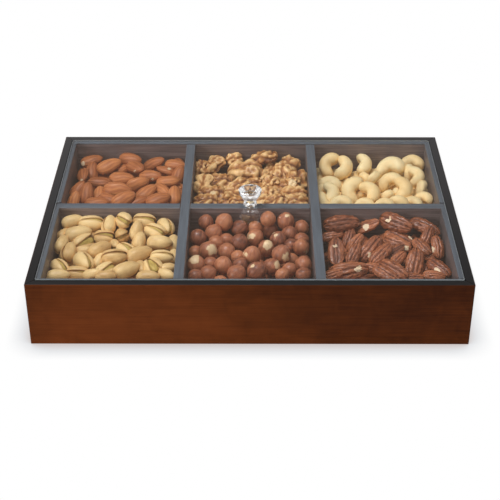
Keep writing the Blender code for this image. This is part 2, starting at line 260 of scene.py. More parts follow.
@dataclass(frozen=True)
class BlackenedWood:
    """Thin beech strips in a thin black-brown stain, their top edges sprayed charcoal.

    The eye sees warm dark brown walls with the grain only faintly, and slate grey edges,
    which take a soft sheen from the sky. The edges' slate grey is partly a painted sheen on
    the charcoal.
    """

    name: str
    grain: Grain
    dark: str = "#5C4F4E"
    light: str = "#8E7F7C"
    # charcoal top edges, painted slate grey: partly a painted sheen from the sky
    edge_painted_sheen_dark: str = "#4E555D"
    edge_painted_sheen_light: str = "#626B74"
    edge_from: float = 0.0526         # height where the charcoal starts
    fade: float = 0.3 * MM            # height over which it begins
    gloss: float = 0.4
    roughness: float = 0.42
    streak_length: float = 45 * MM
    streak_width: float = 1.6 * MM

    def make(self) -> bpy.types.Material:
        """Builds the material.

        Returns:
            The material for liners, dividers or the base.
        """
        material, tree, output = start_material(self.name)
        spot = put(tree, "ShaderNodeTexCoord").outputs["Object"]
        scale = self.grain.stretch(1 / self.streak_length, 1 / self.streak_width)
        placed = put(tree, "ShaderNodeMapping", {"Vector": spot, "Scale": scale})
        streaks = put(tree, "ShaderNodeTexNoise", {"Vector": placed.outputs[0], "Scale": 1.0, "Detail": 4.0,
                                                   "Roughness": 0.6})
        wall = put(tree, "ShaderNodeValToRGB", {0: streaks.outputs[0]},
                   stops=((0.3, self.dark), (0.7, self.light)))
        edge = put(tree, "ShaderNodeValToRGB", {0: streaks.outputs[0]},
                   stops=((0.3, self.edge_painted_sheen_dark), (0.7, self.edge_painted_sheen_light)))
        parts = put(tree, "ShaderNodeSeparateXYZ", {0: spot})
        sprayed = put(tree, "ShaderNodeMapRange", {"Value": parts.outputs["Z"], "From Min": self.edge_from,
                                                   "From Max": self.edge_from + self.fade})
        colour = put(tree, "ShaderNodeMix", {"Factor": sprayed.outputs[0], 6: wall.outputs[0],
                                             7: edge.outputs[0]}, data_type="RGBA")
        rough = put(tree, "ShaderNodeMapRange", {"Value": streaks.outputs[0], "To Min": self.roughness - 0.05,
                                                 "To Max": self.roughness + 0.08})
        bump = put(tree, "ShaderNodeBump", {"Strength": 0.3, "Distance": 0.08 * MM,
                                            "Height": streaks.outputs[0]})
        shader = put(tree, "ShaderNodeBsdfPrincipled", {
            "Base Color": colour.outputs[2], "Roughness": rough.outputs[0], "Normal": bump.outputs[0],
            "IOR": SURFACE_IOR, "Specular IOR Level": self.gloss})
        tree.links.new(shader.outputs[0], output.inputs[0])
        return material


@dataclass(frozen=True)
class ClearAcrylic:
    """Cast acrylic sheet with polished edges.

    The eye sees through its faces, which bend the view a little, with a thin veil of
    reflected room. The edges are pale lines, a painted highlight that stands for light which
    runs inside the sheet and leaves there. Light itself passes straight, so that the lid casts
    no false shadow.
    """

    both_faces: float = 1.86          # the lower face reflects nearly as much as the upper one
    # painted highlight: the pale colour of the polished edges
    edge: str = "#D4DDE1"
    body: tuple[float, ...] = (0.985, 0.99, 0.995, 1.0)   # what the sheet lets through
    haze_patches: float = 30.0        # per metre, from fingers and cloths
    haze: float = 0.04                # the roughness of the haziest patch
    flat_from: float = 0.9            # faces whose normal is steeper than this are the flat ones
    edge_roughness: float = 0.2

    def make(self) -> bpy.types.Material:
        """Builds the material.

        Returns:
            The material for the lid panel.
        """
        material, tree, output = start_material("cast_acrylic")
        place = put(tree, "ShaderNodeNewGeometry")
        path = put(tree, "ShaderNodeLightPath")
        looked = put(tree, "ShaderNodeMath", {0: path.outputs["Is Camera Ray"],
                                              1: path.outputs["Is Transmission Ray"]}, operation="MAXIMUM")
        straight = put(tree, "ShaderNodeBsdfTransparent", {"Color": self.body})
        bent = put(tree, "ShaderNodeBsdfRefraction", {"Color": self.body, "Roughness": 0.0, "IOR": ACRYLIC_IOR})
        through = put(tree, "ShaderNodeMixShader", {0: looked.outputs[0], 1: straight.outputs[0],
                                                    2: bent.outputs[0]})
        veil = put(tree, "ShaderNodeFresnel", {"IOR": ACRYLIC_IOR})
        both = put(tree, "ShaderNodeMath", {0: veil.outputs[0], 1: self.both_faces}, operation="MULTIPLY")
        front = put(tree, "ShaderNodeMath", {0: looked.outputs[0], 1: place.outputs["Backfacing"]},
                    operation="SUBTRACT", use_clamp=True)
        share = put(tree, "ShaderNodeMath", {0: both.outputs[0], 1: front.outputs[0]}, operation="MULTIPLY")
        spot = put(tree, "ShaderNodeTexCoord").outputs["Object"]
        haze = put(tree, "ShaderNodeTexNoise", {"Vector": spot, "Scale": self.haze_patches, "Detail": 3.0})
        rough = put(tree, "ShaderNodeMapRange", {"Value": haze.outputs[0], "To Min": 0.0, "To Max": self.haze})
        shine = put(tree, "ShaderNodeBsdfGlossy", {"Color": WHITE, "Roughness": rough.outputs[0]})
        face = put(tree, "ShaderNodeMixShader", {0: share.outputs[0], 1: through.outputs[0],
                                                 2: shine.outputs[0]})
        normal = put(tree, "ShaderNodeSeparateXYZ", {0: place.outputs["True Normal"]})
        steep = put(tree, "ShaderNodeMath", {0: normal.outputs["Z"]}, operation="ABSOLUTE")
        edge = put(tree, "ShaderNodeMath", {0: steep.outputs[0], 1: self.flat_from}, operation="LESS_THAN")
        rim = put(tree, "ShaderNodeBsdfPrincipled", {
            "Base Color": linear(self.edge), "Roughness": self.edge_roughness, "IOR": ACRYLIC_IOR})
        sheet = put(tree, "ShaderNodeMixShader", {0: edge.outputs[0], 1: face.outputs[0], 2: rim.outputs[0]})
        tree.links.new(sheet.outputs[0], output.inputs[0])
        return material


@dataclass(frozen=True)
class CutCrystal:
    """Clear crystal glass, pressed and cut in flat facets, then polished.

    The eye sees bright facets that show the white room, and dark ones that show what lies below.
    """

    ior: float = 1.54
    wear_patches: float = 400.0       # per metre
    wear: float = 0.03                # the roughness where the polish is worn

    def make(self) -> bpy.types.Material:
        """Builds the material.

        Returns:
            The material for the knob.
        """
        material, tree, output = start_material("cut_crystal")
        spot = put(tree, "ShaderNodeTexCoord").outputs["Object"]
        wear = put(tree, "ShaderNodeTexNoise", {"Vector": spot, "Scale": self.wear_patches, "Detail": 2.0})
        rough = put(tree, "ShaderNodeMapRange", {"Value": wear.outputs[0], "To Min": 0.0, "To Max": self.wear})
        shader = put(tree, "ShaderNodeBsdfPrincipled", {
            "Base Color": WHITE, "Roughness": rough.outputs[0], "IOR": self.ior,
            "Transmission Weight": 1.0})
        tree.links.new(shader.outputs[0], output.inputs[0])
        return material


@dataclass(frozen=True)
class TurnedMetal:
    """A small turned or cold-headed metal part, with fine rings from the tool."""

    name: str
    colour: str
    dark: str
    ring: float = 0.25 * MM
    specks: float = 300.0             # per metre, round the part
    roughness: float = 0.3
    unevenness: float = 0.08          # of the roughness

    def make(self) -> bpy.types.Material:
        """Builds the material.

        Returns:
            The material for the insert or the screw.
        """
        material, tree, output = start_material(self.name)
        spot = put(tree, "ShaderNodeTexCoord").outputs["Object"]
        placed = put(tree, "ShaderNodeMapping", {"Vector": spot, "Scale": (self.specks, self.specks,
                                                                             1 / self.ring)})
        rings = put(tree, "ShaderNodeTexNoise", {"Vector": placed.outputs[0], "Scale": 1.0, "Detail": 2.0})
        colour = put(tree, "ShaderNodeValToRGB", {0: rings.outputs[0]},
                     stops=((0.3, self.dark), (0.7, self.colour)))
        rough = put(tree, "ShaderNodeMapRange", {
            "Value": rings.outputs[0], "To Min": self.roughness - self.unevenness,
            "To Max": self.roughness + self.unevenness})
        shader = put(tree, "ShaderNodeBsdfPrincipled", {
            "Base Color": colour.outputs[0], "Roughness": rough.outputs[0], "Metallic": 1.0})
        tree.links.new(shader.outputs[0], output.inputs[0])
        return material


@dataclass(frozen=True)
class NutFinish:
    """The skin, shell or flesh of one kind of nut.

    The colour runs from dark in the hollows to light on the swellings, a painted shade and a
    painted light, with streaks that converge at the nut's ends, a tone of its own for each nut,
    and pale places at chips: bare flesh where a chip has come off on some nuts, and a painted
    highlight on others.
    """

    name: str
    dark: str
    mid: str
    light: str
    # the chips' pale colour: bare flesh, and on some nuts a painted highlight
    bare: str
    around: float = 6.0               # streaks round a nut, more for a finer skin
    along: float = 0.8                # how fast a streak changes along the nut
    by_relief_painted_shade: float = 0.5
    by_streak: float = 0.5
    by_tint: float = 0.3
    by_cloud: float = 0.2
    roughness: float = 0.5
    gloss: float = 0.35
    cloud: float = 9 * MM
    chip_grain: float = 4 * MM
    chip_wander: float = 5 * MM
    chip_blur: float = 0.35 * MM      # how far the skin thins out round a chip
    dull: float = 0.3                 # how much rougher the hollows are
    hollow: float = 0.6               # the relief below which a place counts as one
    bump: float = 0.2 * MM
    own_streaks: float = 40.0         # how far apart the streaks of two nuts are taken
    flesh_from: float = 0.15 * MM     # how far within a chip the bare flesh starts

    def make(self) -> bpy.types.Material:
        """Builds the material.

        Returns:
            The material for this kind of nut.
        """
        material, tree, output = start_material(self.name)
        form, relief, tint, bare = (put(tree, "ShaderNodeAttribute", attribute_name=n)
                                    for n in ("nut_space", "relief", "tint", "bare"))
        spot = put(tree, "ShaderNodeTexCoord").outputs["Object"]
        flat = put(tree, "ShaderNodeVectorMath", {0: form.outputs["Vector"], 1: (0.0, 1.0, 1.0)},
                   operation="MULTIPLY")
        ring = put(tree, "ShaderNodeVectorMath", {0: flat.outputs[0]}, operation="NORMALIZE")
        wide = put(tree, "ShaderNodeVectorMath", {0: ring.outputs[0], "Scale": self.around}, operation="SCALE")
        drawn = put(tree, "ShaderNodeVectorMath", {0: form.outputs["Vector"], 1: (self.along, 0.0, 0.0),
                                                   2: wide.outputs[0]}, operation="MULTIPLY_ADD")
        shift = put(tree, "ShaderNodeCombineXYZ", {0: tint.outputs["Fac"]})
        apart = put(tree, "ShaderNodeVectorMath", {0: shift.outputs[0], 1: (self.own_streaks, 0.0, 0.0),
                                                   2: drawn.outputs[0]}, operation="MULTIPLY_ADD")
        streak = put(tree, "ShaderNodeTexNoise", {"Vector": apart.outputs[0], "Scale": 1.0, "Detail": 3.0,
                                                  "Roughness": 0.6})
        clouds = put(tree, "ShaderNodeTexNoise", {"Vector": spot, "Scale": 1 / self.cloud, "Detail": 4.0})
        tone: Feed = 0.5
        # painted shade and light: the relief darkens the hollows and lightens the swellings
        for pattern, weight in ((relief.outputs["Fac"], self.by_relief_painted_shade),
                                (streak.outputs[0], self.by_streak * 2), (tint.outputs["Fac"], self.by_tint),
                                (clouds.outputs[0], self.by_cloud * 2)):
            tone = self._lean(tree, pattern, weight, tone)
        skin = put(tree, "ShaderNodeValToRGB", {0: tone},
                   stops=((0.12, self.dark), (0.5, self.mid), (0.88, self.light)))
        # the chips: bare flesh, and on some nuts a painted highlight
        ragged = put(tree, "ShaderNodeTexNoise", {"Vector": spot, "Scale": 1 / self.chip_grain, "Detail": 3.0})
        edge = self._lean(tree, ragged.outputs[0], self.chip_wander, bare.outputs["Fac"])
        chip = put(tree, "ShaderNodeMapRange", {"Value": edge, "From Min": -self.chip_blur,
                                                "From Max": self.flesh_from})
        colour = put(tree, "ShaderNodeMix", {"Factor": chip.outputs[0], 6: skin.outputs[0],
                                             7: linear(self.bare)}, data_type="RGBA")
        worn = put(tree, "ShaderNodeMapRange", {"Value": clouds.outputs[0], "To Min": self.roughness - 0.08,
                                                "To Max": self.roughness + 0.12})
        dull = put(tree, "ShaderNodeMapRange", {"Value": relief.outputs["Fac"], "From Max": self.hollow,
                                                "To Min": self.dull, "To Max": 0.0})
        rough = put(tree, "ShaderNodeMath", {0: worn.outputs[0], 1: dull.outputs[0]}, operation="ADD")
        bump = put(tree, "ShaderNodeBump", {"Strength": 0.6, "Distance": self.bump,
                                            "Height": streak.outputs[0]})
        shader = put(tree, "ShaderNodeBsdfPrincipled", {
            "Base Color": colour.outputs[2], "Roughness": rough.outputs[0], "Normal": bump.outputs[0],
            "IOR": SURFACE_IOR, "Specular IOR Level": self.gloss})
        tree.links.new(shader.outputs[0], output.inputs[0])
        return material

    def _lean(self, tree: bpy.types.NodeTree, value: bpy.types.NodeSocket, weight: float,
              onto: Feed) -> bpy.types.NodeSocket:
        """Adds a weighted pattern, taken about its middle, onto a tone.

        Args:
            tree: the material's tree.
            value: the pattern, from zero to one.
            weight: how far the pattern moves the tone.
            onto: the tone so far, as a socket or a number.

        Returns:
            The new tone.
        """
        centred = put(tree, "ShaderNodeMath", {0: value, 1: 0.5}, operation="SUBTRACT")
        return put(tree, "ShaderNodeMath", {0: centred.outputs[0], 1: weight, 2: onto},
                   operation="MULTIPLY_ADD").outputs[0]


@dataclass(frozen=True)
class PaperFloor:
    """A white paper sweep. It shows white, with the box's soft contact shadow."""

    side: float = 12.0
    shadow_reach: float = 22 * MM
    shadow: str = "#CFC6C3"
    penumbra: str = "#E6E7E9"
    paper: str = "#EDEDED"
    drop: float = 0.1 * MM

    def build(self) -> bpy.types.Object:
        """Builds the floor.

        Returns:
            The floor.
        """
        bm = bmesh.new()
        bmesh.ops.create_grid(bm, x_segments=1, y_segments=1, size=self.side / 2)
        bmesh.ops.translate(bm, verts=bm.verts, vec=(0.0, 0.0, -self.drop))
        floor = finish_mesh(bm, "paper_floor", [self._paper()])
        LOG.info("%s: %.0f m wide", floor.name, self.side)
        return floor

    def _paper(self) -> bpy.types.Material:
        """Builds the floor's material: plain paper for light, and white with a shadow for the camera.

        Returns:
            The material.
        """
        material, tree, output = start_material("white_paper")
        path = put(tree, "ShaderNodeLightPath")
        seen = seen_directly(tree, path)
        near = put(tree, "ShaderNodeAmbientOcclusion", {"Distance": self.shadow_reach}, samples=24)
        shade = put(tree, "ShaderNodeValToRGB", {0: near.outputs["AO"]},
                    stops=((0.5, self.shadow), (0.75, self.penumbra), (1.0, "#FFFFFF")))
        glow = put(tree, "ShaderNodeEmission", {"Color": shade.outputs[0], "Strength": 1.0})
        plain = put(tree, "ShaderNodeBsdfDiffuse", {"Color": linear(self.paper)})
        both = put(tree, "ShaderNodeMixShader", {0: seen, 1: plain.outputs[0], 2: glow.outputs[0]})
        tree.links.new(both.outputs[0], output.inputs[0])
        return material


def seen_directly(tree: bpy.types.NodeTree, path: bpy.types.Node) -> bpy.types.NodeSocket:
    """Tells the rays that show a background from those that carry light.

    Args:
        tree: the tree that takes the nodes.
        path: its Light Path node.

    Returns:
        One for camera, glossy and transmission rays, and zero for others.
    """
    mirrored = put(tree, "ShaderNodeMath", {0: path.outputs["Is Camera Ray"],
                                            1: path.outputs["Is Glossy Ray"]}, operation="MAXIMUM")
    return put(tree, "ShaderNodeMath", {0: mirrored.outputs[0], 1: path.outputs["Is Transmission Ray"]},
               operation="MAXIMUM").outputs[0]


def finish_mesh(bm: bmesh.types.BMesh, name: str, materials: Sequence[bpy.types.Material]) -> bpy.types.Object:
    """Turns a bmesh into an object at the origin and frees the bmesh.

    Args:
        bm: the finished shape.
        name: the piece's name.
        materials: its materials, in slot order.

    Returns:
        The new object, linked to the scene.
    """
    mesh = bpy.data.meshes.new(name)
    bm.to_mesh(mesh)
    bm.free()
    for material in materials:
        mesh.materials.append(material)
    piece = bpy.data.objects.new(name, mesh)
    bpy.context.scene.collection.objects.link(piece)
    return piece


@dataclass(frozen=True)
class Softbox:
    """A square lamp: where it stands, its side and its power in watts."""

    name: str
    place: tuple[float, float, float]
    side: float
    power: float
    target: tuple[float, float, float] = (0.0, 0.0, 0.02)

    def build(self, scene: bpy.types.Scene) -> None:
        """Adds the lamp.

        Args:
            scene: the scene that takes it.
        """
        lamp = bpy.data.lights.new(self.name, "AREA")
        lamp.shape = "SQUARE"
        lamp.size = self.side
        lamp.energy = self.power
        box = bpy.data.objects.new(self.name, lamp)
        box.location = self.place
        towards = Vector(self.target) - Vector(self.place)
        box.rotation_euler = towards.to_track_quat("-Z", "Y").to_euler()
        scene.collection.objects.link(box)
        LOG.info("%s: %.1f W", self.name, self.power)


@dataclass(frozen=True)
class Studio:
    """The camera, the white room and the lamps."""

    place: tuple[float, float, float] = (0.00305, -0.89567, 0.58179)
    aim: tuple[float, float, float] = (57.42, 0.0366, 0.1809)      # degrees
    lens: float = 86.75                                             # millimetres
    sky: float = 0.33                                               # the room's own light
    dim_way: tuple[float, float, float] = (0.0, 0.84, 0.54)         # towards the dim wall
    dim_reach: float = 20.0                                         # degrees
    dim_fade: float = 20.0
    wall: str = "#7E7268"
    lamps: tuple[Softbox, ...] = (Softbox("overhead_softbox", (-0.3, -0.05, 1.3), 0.6, 12.5),
                                  Softbox("front_left_softbox", (-1.1, -0.9, 0.55), 0.28, 7.2))

    def build(self) -> None:
        """Sets up the camera, the world and the lamps, and plain colour management."""
        scene = bpy.context.scene
        scene.view_settings.view_transform = "Standard"
        data = bpy.data.cameras.new("studio_camera")
        data.lens = self.lens
        data.sensor_width = SENSOR_WIDTH
        data.clip_start = 0.01
        camera = bpy.data.objects.new("studio_camera", data)
        camera.location = self.place
        camera.rotation_euler = [math.radians(a) for a in self.aim]
        scene.collection.objects.link(camera)
        scene.camera = camera
        self._room(scene)
        for lamp in self.lamps:
            lamp.build(scene)

    def unmirrored(self, panel: bpy.types.Object) -> None:
        """Keeps the lamps' mirror images off a clear panel, as a photographer's flags do.

        Args:
            panel: the panel, which the lamps still shine through.
        """
        flags = bpy.data.collections.new("flagged_from_softboxes")
        flags.objects.link(panel)
        for member in flags.collection_objects:
            member.light_linking.link_state = "EXCLUDE"
        for lamp in self.lamps:
            bpy.data.objects[lamp.name].light_linking.receiver_collection = flags

    def _room(self, scene: bpy.types.Scene) -> None:
        """Makes a white room whose far wall, where the lid's mirror looks, is dim and beige.

        Args:
            scene: the scene that takes it.
        """
        world = bpy.data.worlds.new("white_room")
        world.use_nodes = True
        scene.world = world
        tree = world.node_tree
        tree.nodes.clear()
        path = put(tree, "ShaderNodeLightPath")
        level = put(tree, "ShaderNodeMapRange", {"Value": seen_directly(tree, path),
                                                 "To Min": self.sky, "To Max": 1.0})
        way = put(tree, "ShaderNodeTexCoord").outputs["Generated"]
        near = put(tree, "ShaderNodeVectorMath", {0: way, 1: self.dim_way}, operation="DOT_PRODUCT")
        dim = put(tree, "ShaderNodeMapRange", {
            "Value": near.outputs["Value"],
            "From Min": math.cos(math.radians(self.dim_reach + self.dim_fade)),
            "From Max": math.cos(math.radians(self.dim_reach))})
        shown = put(tree, "ShaderNodeMath", {0: dim.outputs[0], 1: path.outputs["Is Camera Ray"]},
                    operation="SUBTRACT", use_clamp=True)
        colour = put(tree, "ShaderNodeValToRGB", {0: shown.outputs[0]},
                     stops=((0.0, "#FFFFFF"), (1.0, self.wall)))
        back = put(tree, "ShaderNodeBackground", {"Color": colour.outputs[0], "Strength": level.outputs[0]})
        output = tree.nodes.new("ShaderNodeOutputWorld")
        tree.links.new(back.outputs[0], output.inputs[0])

    def turn(self) -> Matrix:
        """Returns the camera's rotation."""
        x, y, z = (math.radians(a) for a in self.aim)
        return (Matrix.Rotation(z, 3, "Z") @ Matrix.Rotation(y, 3, "Y") @ Matrix.Rotation(x, 3, "X"))

    def ray(self, across: float, down: float) -> Vector:
        """Finds the direction that shows at a place in the picture.

        Args:
            across: pixels from the picture's left edge.
            down: pixels from its top edge.

        Returns:
            The direction, of length one.
        """
        focal = self.lens / SENSOR_WIDTH * PHOTO_SIDE
        middle = PHOTO_SIDE / 2
        towards = Vector(((across - middle) / focal, (middle - down) / focal, -1.0))
        return (self.turn() @ towards).normalized()

    def pixel(self, spot: Vector) -> float:
        """Returns what one pixel of the photograph spans at a spot."""
        return (spot - Vector(self.place)).length * SENSOR_WIDTH / self.lens / PHOTO_SIDE

    def under_lid(self, across: float, down: float, height: float, sheet: float) -> Vector:
        """Finds the point below the lid, at a given height, that shows at a place in the picture.

        Args:
            across: pixels from the picture's left edge.
            down: pixels from its top edge.
            height: the point's height above the floor.
            sheet: the lid's thickness, which moves the view towards the camera.

        Returns:
            The point.
        """
        ray = self.ray(across, down)
        start = Vector(self.place)
        level = Vector((ray.x, ray.y, 0.0))
        bent = level.length / ACRYLIC_IOR
        moved = sheet * (level.length / -ray.z - bent / math.sqrt(1 - bent ** 2))
        return start + ray * ((height - start.z) / ray.z) - level.normalized() * moved


@dataclass(frozen=True)
class Sitting:
    """Where one nut of the top layer lies, as the camera sees it.

    across and down are its middle in pixels. lean is the direction of its long axis in the
    picture, in degrees from the right, and pitch raises that end. roll turns it about that
    axis. size is a factor on its usual size, and level is millimetres above the heap's face.
    The chip is a pale place: bare flesh where the skin came off on some nuts, and a painted
    highlight on others. Its offset from the middle and its reach are in pixels. form is the
    number of the nut's form; below zero, the forms are taken in turn.
    """

    across: float
    down: float
    lean: float
    pitch: float
    roll: float
    size: float
    level: float
    chip_across: float = 0.0
    chip_up: float = 0.0
    chip_reach: float = 0.0
    form: int = -1


@dataclass(frozen=True)
class Nut:
    """A kind of nut: its usual size and how a ball's points move to give its form.

    facing is how far the nuts on top lean towards the camera, in degrees.
    """

    length: float
    width: float
    thickness: float
    spokes: int = 24
    rings: int = 18
    lean_offset: float = 0.0
    facing: float = 0.0

    def shape(self, unit: Vector, seed: int) -> tuple[Vector, float]:
        """Moves one point of a unit ball, whose poles lie on X, to the nut's surface.

        Args:
            unit: the point on the ball.
            seed: the number of the nut's own form.

        Returns:
            The point on the nut, and its relief from zero in a hollow to one on a swelling.
        """
        return self.place(unit, 1.0, 1.0, 1.0), 0.5

    def place(self, unit: Vector, along: float, across: float, up: float) -> Vector:
        """Gives a point of the unit ball its place on a nut of this size.

        Args:
            unit: the point on the ball.
            along: the factor on its place along the nut.
            across: the factor across it.
            up: the factor through its thickness.

        Returns:
            The place, in metres.
        """
        return Vector((unit.x * self.length / 2 * along, unit.y * self.width / 2 * across,
                       unit.z * self.thickness / 2 * up))

    def mesh(self, seed: int, detail: float) -> bpy.types.Mesh:
        """Builds one nut about its own middle.

        Args:
            seed: the number of the nut's own form.
            detail: one for a nut in full view, less for one that lies deeper.

        Returns:
            The mesh, with the attributes that the finish reads.
        """
        bm = bmesh.new()
        self._grow(bm, seed, detail)
        low = Vector([min(v.co[i] for v in bm.verts) for i in range(3)])
        high = Vector([max(v.co[i] for v in bm.verts) for i in range(3)])
        bmesh.ops.translate(bm, verts=bm.verts, vec=-(low + high) / 2)
        bmesh.ops.remove_doubles(bm, verts=bm.verts, dist=0.002 * MM)
        bmesh.ops.recalc_face_normals(bm, faces=bm.faces)
        for face in bm.faces:
            face.smooth = True
        mesh = bpy.data.meshes.new(f"nut_form_{seed}")
        bm.to_mesh(mesh)
        bm.free()
        return mesh

    def _grow(self, bm: bmesh.types.BMesh, seed: int, detail: float) -> None:
        """Fills an empty bmesh with the nut's form.

        Args:
            bm: the bmesh to fill.
            seed: the number of the nut's own form.
            detail: the share of the form's faces, along each way, that the mesh has.
        """
        name_layers(bm)
        made = bmesh.ops.create_uvsphere(bm, u_segments=max(8, round(self.spokes * detail)),
                                         v_segments=max(6, round(self.rings * detail)), radius=1.0)
        bmesh.ops.rotate(bm, verts=made["verts"], cent=(0.0, 0.0, 0.0),
                         matrix=Matrix.Rotation(math.pi / 2, 3, "Y"))
        space = bm.verts.layers.float_vector["nut_space"]
        relief = bm.verts.layers.float["relief"]
        for vert in bm.verts:
            unit = vert.co.copy()
            vert[space] = unit
            vert.co, vert[relief] = self.shape(unit, seed)


def name_layers(bm: bmesh.types.BMesh) -> None:
    """Gives an empty bmesh the layers that a nut's finish reads.

    Args:
        bm: the bmesh.
    """
    for name in ("relief", "tint", "bare"):
        bm.verts.layers.float.new(name)
    bm.verts.layers.float_vector.new("nut_space")


def fill_with_balls(form: bpy.types.Mesh, limit: int = 9, slack: float = 0.6 * MM,
                    step: float = 1.3 * MM, many: int = 700) -> np.ndarray:
    """Fills a nut's form with the few balls that come closest to its surface.

    Args:
        form: the nut's mesh.
        limit: the most balls that it gets.
        slack: how near a ball's surface counts as on the nut's.
        step: distance between the middles that are tried.
        many: the number of points above which every second one is enough.

    Returns:
        One row for each ball: its middle and its radius.
    """
    hull = bmesh.new()
    hull.from_mesh(form)
    points = np.array([v.co for v in hull.verts])
    normals = np.array([v.normal for v in hull.verts])
    hull.free()
    if len(points) > many:
        points, normals = points[::2], normals[::2]
    ways = [np.arange(a + step / 2, b, step) for a, b in zip(points.min(axis=0), points.max(axis=0))]
    tries = np.stack(np.meshgrid(*ways, indexing="ij"), axis=-1).reshape(-1, 3)
    away = np.linalg.norm(tries[:, None] - points[None], axis=2)
    nearest = away.argmin(axis=1)
    within = ((tries - points[nearest]) * normals[nearest]).sum(axis=1) < 0
    tries, away = tries[within], away[within]
    radius = away.min(axis=1)
    touches = away < radius[:, None] + slack
    bare = np.ones(len(points), dtype=bool)
    rows = []
    while len(rows) < limit and bare.any():
        best = (touches & bare).sum(axis=1).argmax()
        rows.append((*tries[best], radius[best]))
        bare &= ~touches[best]
    return np.array(rows)


def bluntness(along: float, power: float, least: float = 0.004, most: float = 1.6) -> float:
    """Tells how much wider a nut with blunt ends is than an egg, at one place along it.

    Args:
        along: the place, from minus one to one.
        power: two for an egg, more for blunter ends.
        least: keeps the division at the very ends sound.
        most: the largest factor.

    Returns:
        The factor on the egg's width there.
    """
    rest = max(least, 1 - along ** 2)
    return min(most, math.sqrt(max(least, 1 - abs(along) ** power) / rest))


def bell(away: float, reach: float) -> float:
    """Gives a smooth bump, such as a seam's or a cleft's.

    Args:
        away: the distance from its middle.
        reach: how wide it is, in the same measure.

    Returns:
        One at the middle, and near zero past twice the reach.
    """
    return math.exp(-(away / reach) ** 2)


@dataclass(frozen=True)
class Almond(Nut):
    """An almond in its skin: a flat drop with fine lengthwise wrinkles."""

    length: float = 21.8 * MM
    width: float = 13.2 * MM
    thickness: float = 8.8 * MM
    spokes: int = 36
    rings: int = 18
    facing: float = 12.0
    wrinkles: int = 11
    wrinkle_depth: float = 0.02       # these shares are of half the nut's width
    unevenness: float = 0.05
    blunt: float = 2.5

    def shape(self, unit: Vector, seed: int) -> tuple[Vector, float]:
        """Draws a point of the unit ball out to a flat drop with lengthwise wrinkles.

        Args:
            unit: the point on the ball.
            seed: the number of the nut's own form.

        Returns:
            The point on the nut, and its relief from zero to one.
        """
        angle = math.atan2(unit.z, unit.y)
        bend = noise.noise(Vector((unit.x * 1.5, seed * 5.1, 0.0)))
        wrinkle = math.sin(angle * self.wrinkles + bend * 3) * 0.5 + 0.5
        wobble = 1 + self.unevenness * noise.noise(unit * 1.3 + Vector((seed * 3.7, 0.0, 0.0)))
        taper = max(0.02, 1 - unit.x) ** 0.10 / max(0.1, 1 + unit.x) ** 0.05 / 1.02
        swell = wobble * taper * (1 - self.wrinkle_depth * (1 - wrinkle)) * bluntness(unit.x, self.blunt)
        return self.place(unit, 1 + 0.03 * unit.x, swell, swell), wrinkle


@dataclass(frozen=True)
class Hazelnut(Nut):
    """A hazelnut kernel in its skin: a ball drawn to a blunt point at one end."""

    length: float = 14.2 * MM
    width: float = 14.0 * MM
    thickness: float = 13.4 * MM
    spokes: int = 28
    rings: int = 18
    veins: int = 9
    vein_depth: float = 0.012         # these shares are of half the nut's width
    unevenness: float = 0.05
    tip: float = 0.05

    def shape(self, unit: Vector, seed: int) -> tuple[Vector, float]:
        """Moves a point of the unit ball to a near round kernel with faint veins and a blunt tip.

        Args:
            unit: the point on the ball.
            seed: the number of the nut's own form.

        Returns:
            The point on the nut, and its relief from zero to one.
        """
        angle = math.atan2(unit.z, unit.y)
        bend = noise.noise(Vector((unit.x * 2, seed * 4.3, 1.0)))
        vein = math.sin(angle * self.veins + 2 * bend) * 0.5 + 0.5
        taper = 1 - self.tip * max(0.0, unit.x) ** 2
        lump = self.unevenness * noise.noise(unit * 1.2 + Vector((seed * 2.9, 0.0, 0.0)))
        swell = taper * (1 + lump - self.vein_depth * (1 - vein))
        tip = 1 + self.tip * max(0.0, unit.x) ** 6 - self.tip * max(0.0, -unit.x) ** 4
        return self.place(unit, tip, swell, swell), vein


@dataclass(frozen=True)
class Cashew(Nut):
    """A cashew kernel: a thick C, fuller at one end, with a shallow seam on its back."""

    length: float = 23.0 * MM
    width: float = 12.4 * MM          # across the bow
    thickness: float = 11.8 * MM
    curve: float = 6.7 * MM           # radius of the bow's middle line
    sweep: float = 1.95               # half the bow's angle, in radians
    spokes: int = 22
    rings: int = 30
    lean_offset: float = 90.0
    facing: float = 32.0
    blunt: float = 4.2
    fuller: float = 0.10              # how much one end is fuller than the middle
    unevenness: float = 0.06
    seam_width: float = 0.16          # with half the nut's thickness as one
    seam_inside: float = 0.16         # its depth within the bow
    seam_outside: float = 0.06
    inner: float = 0.92               # how far the bow's inner side reaches
    twist: float = 0.6 * MM

    def shape(self, unit: Vector, seed: int) -> tuple[Vector, float]:
        """Bends the ball to a bow, with a seam round its sides and one end fuller.

        Args:
            unit: the point on the ball.
            seed: the number of the nut's own form.

        Returns:
            The point on the nut, and its relief from zero to one.
        """
        level = max(-1.0, min(1.0, unit.x))
        along = 2 * math.asin(level) / math.pi
        ring = math.hypot(unit.y, unit.z) or 1.0
        full = (1 - abs(along) ** self.blunt) ** 0.5 * (0.98 + self.fuller * along)
        out, up = unit.y / ring, unit.z / ring
        lump = 1 + self.unevenness * noise.noise(unit * 1.7 + Vector((seed * 3.3, 1.0, 0.0)))
        seam = bell(up, self.seam_width) * (self.seam_outside if out > 0 else self.seam_inside)
        off = out * self.width / 2 * full * lump * (1 - seam) * (1.0 if out > 0 else self.inner)
        turn = along * self.sweep * (1 + 0.05 * math.sin(seed * 2.1))
        reach = self.curve * (1 + 0.08 * math.sin(seed * 1.3)) + off
        rise = up * self.thickness / 2 * full * lump + self.twist * math.sin(seed + along * 2)
        return Vector((reach * math.sin(turn), reach * math.cos(turn), rise)), 1 - seam * 5


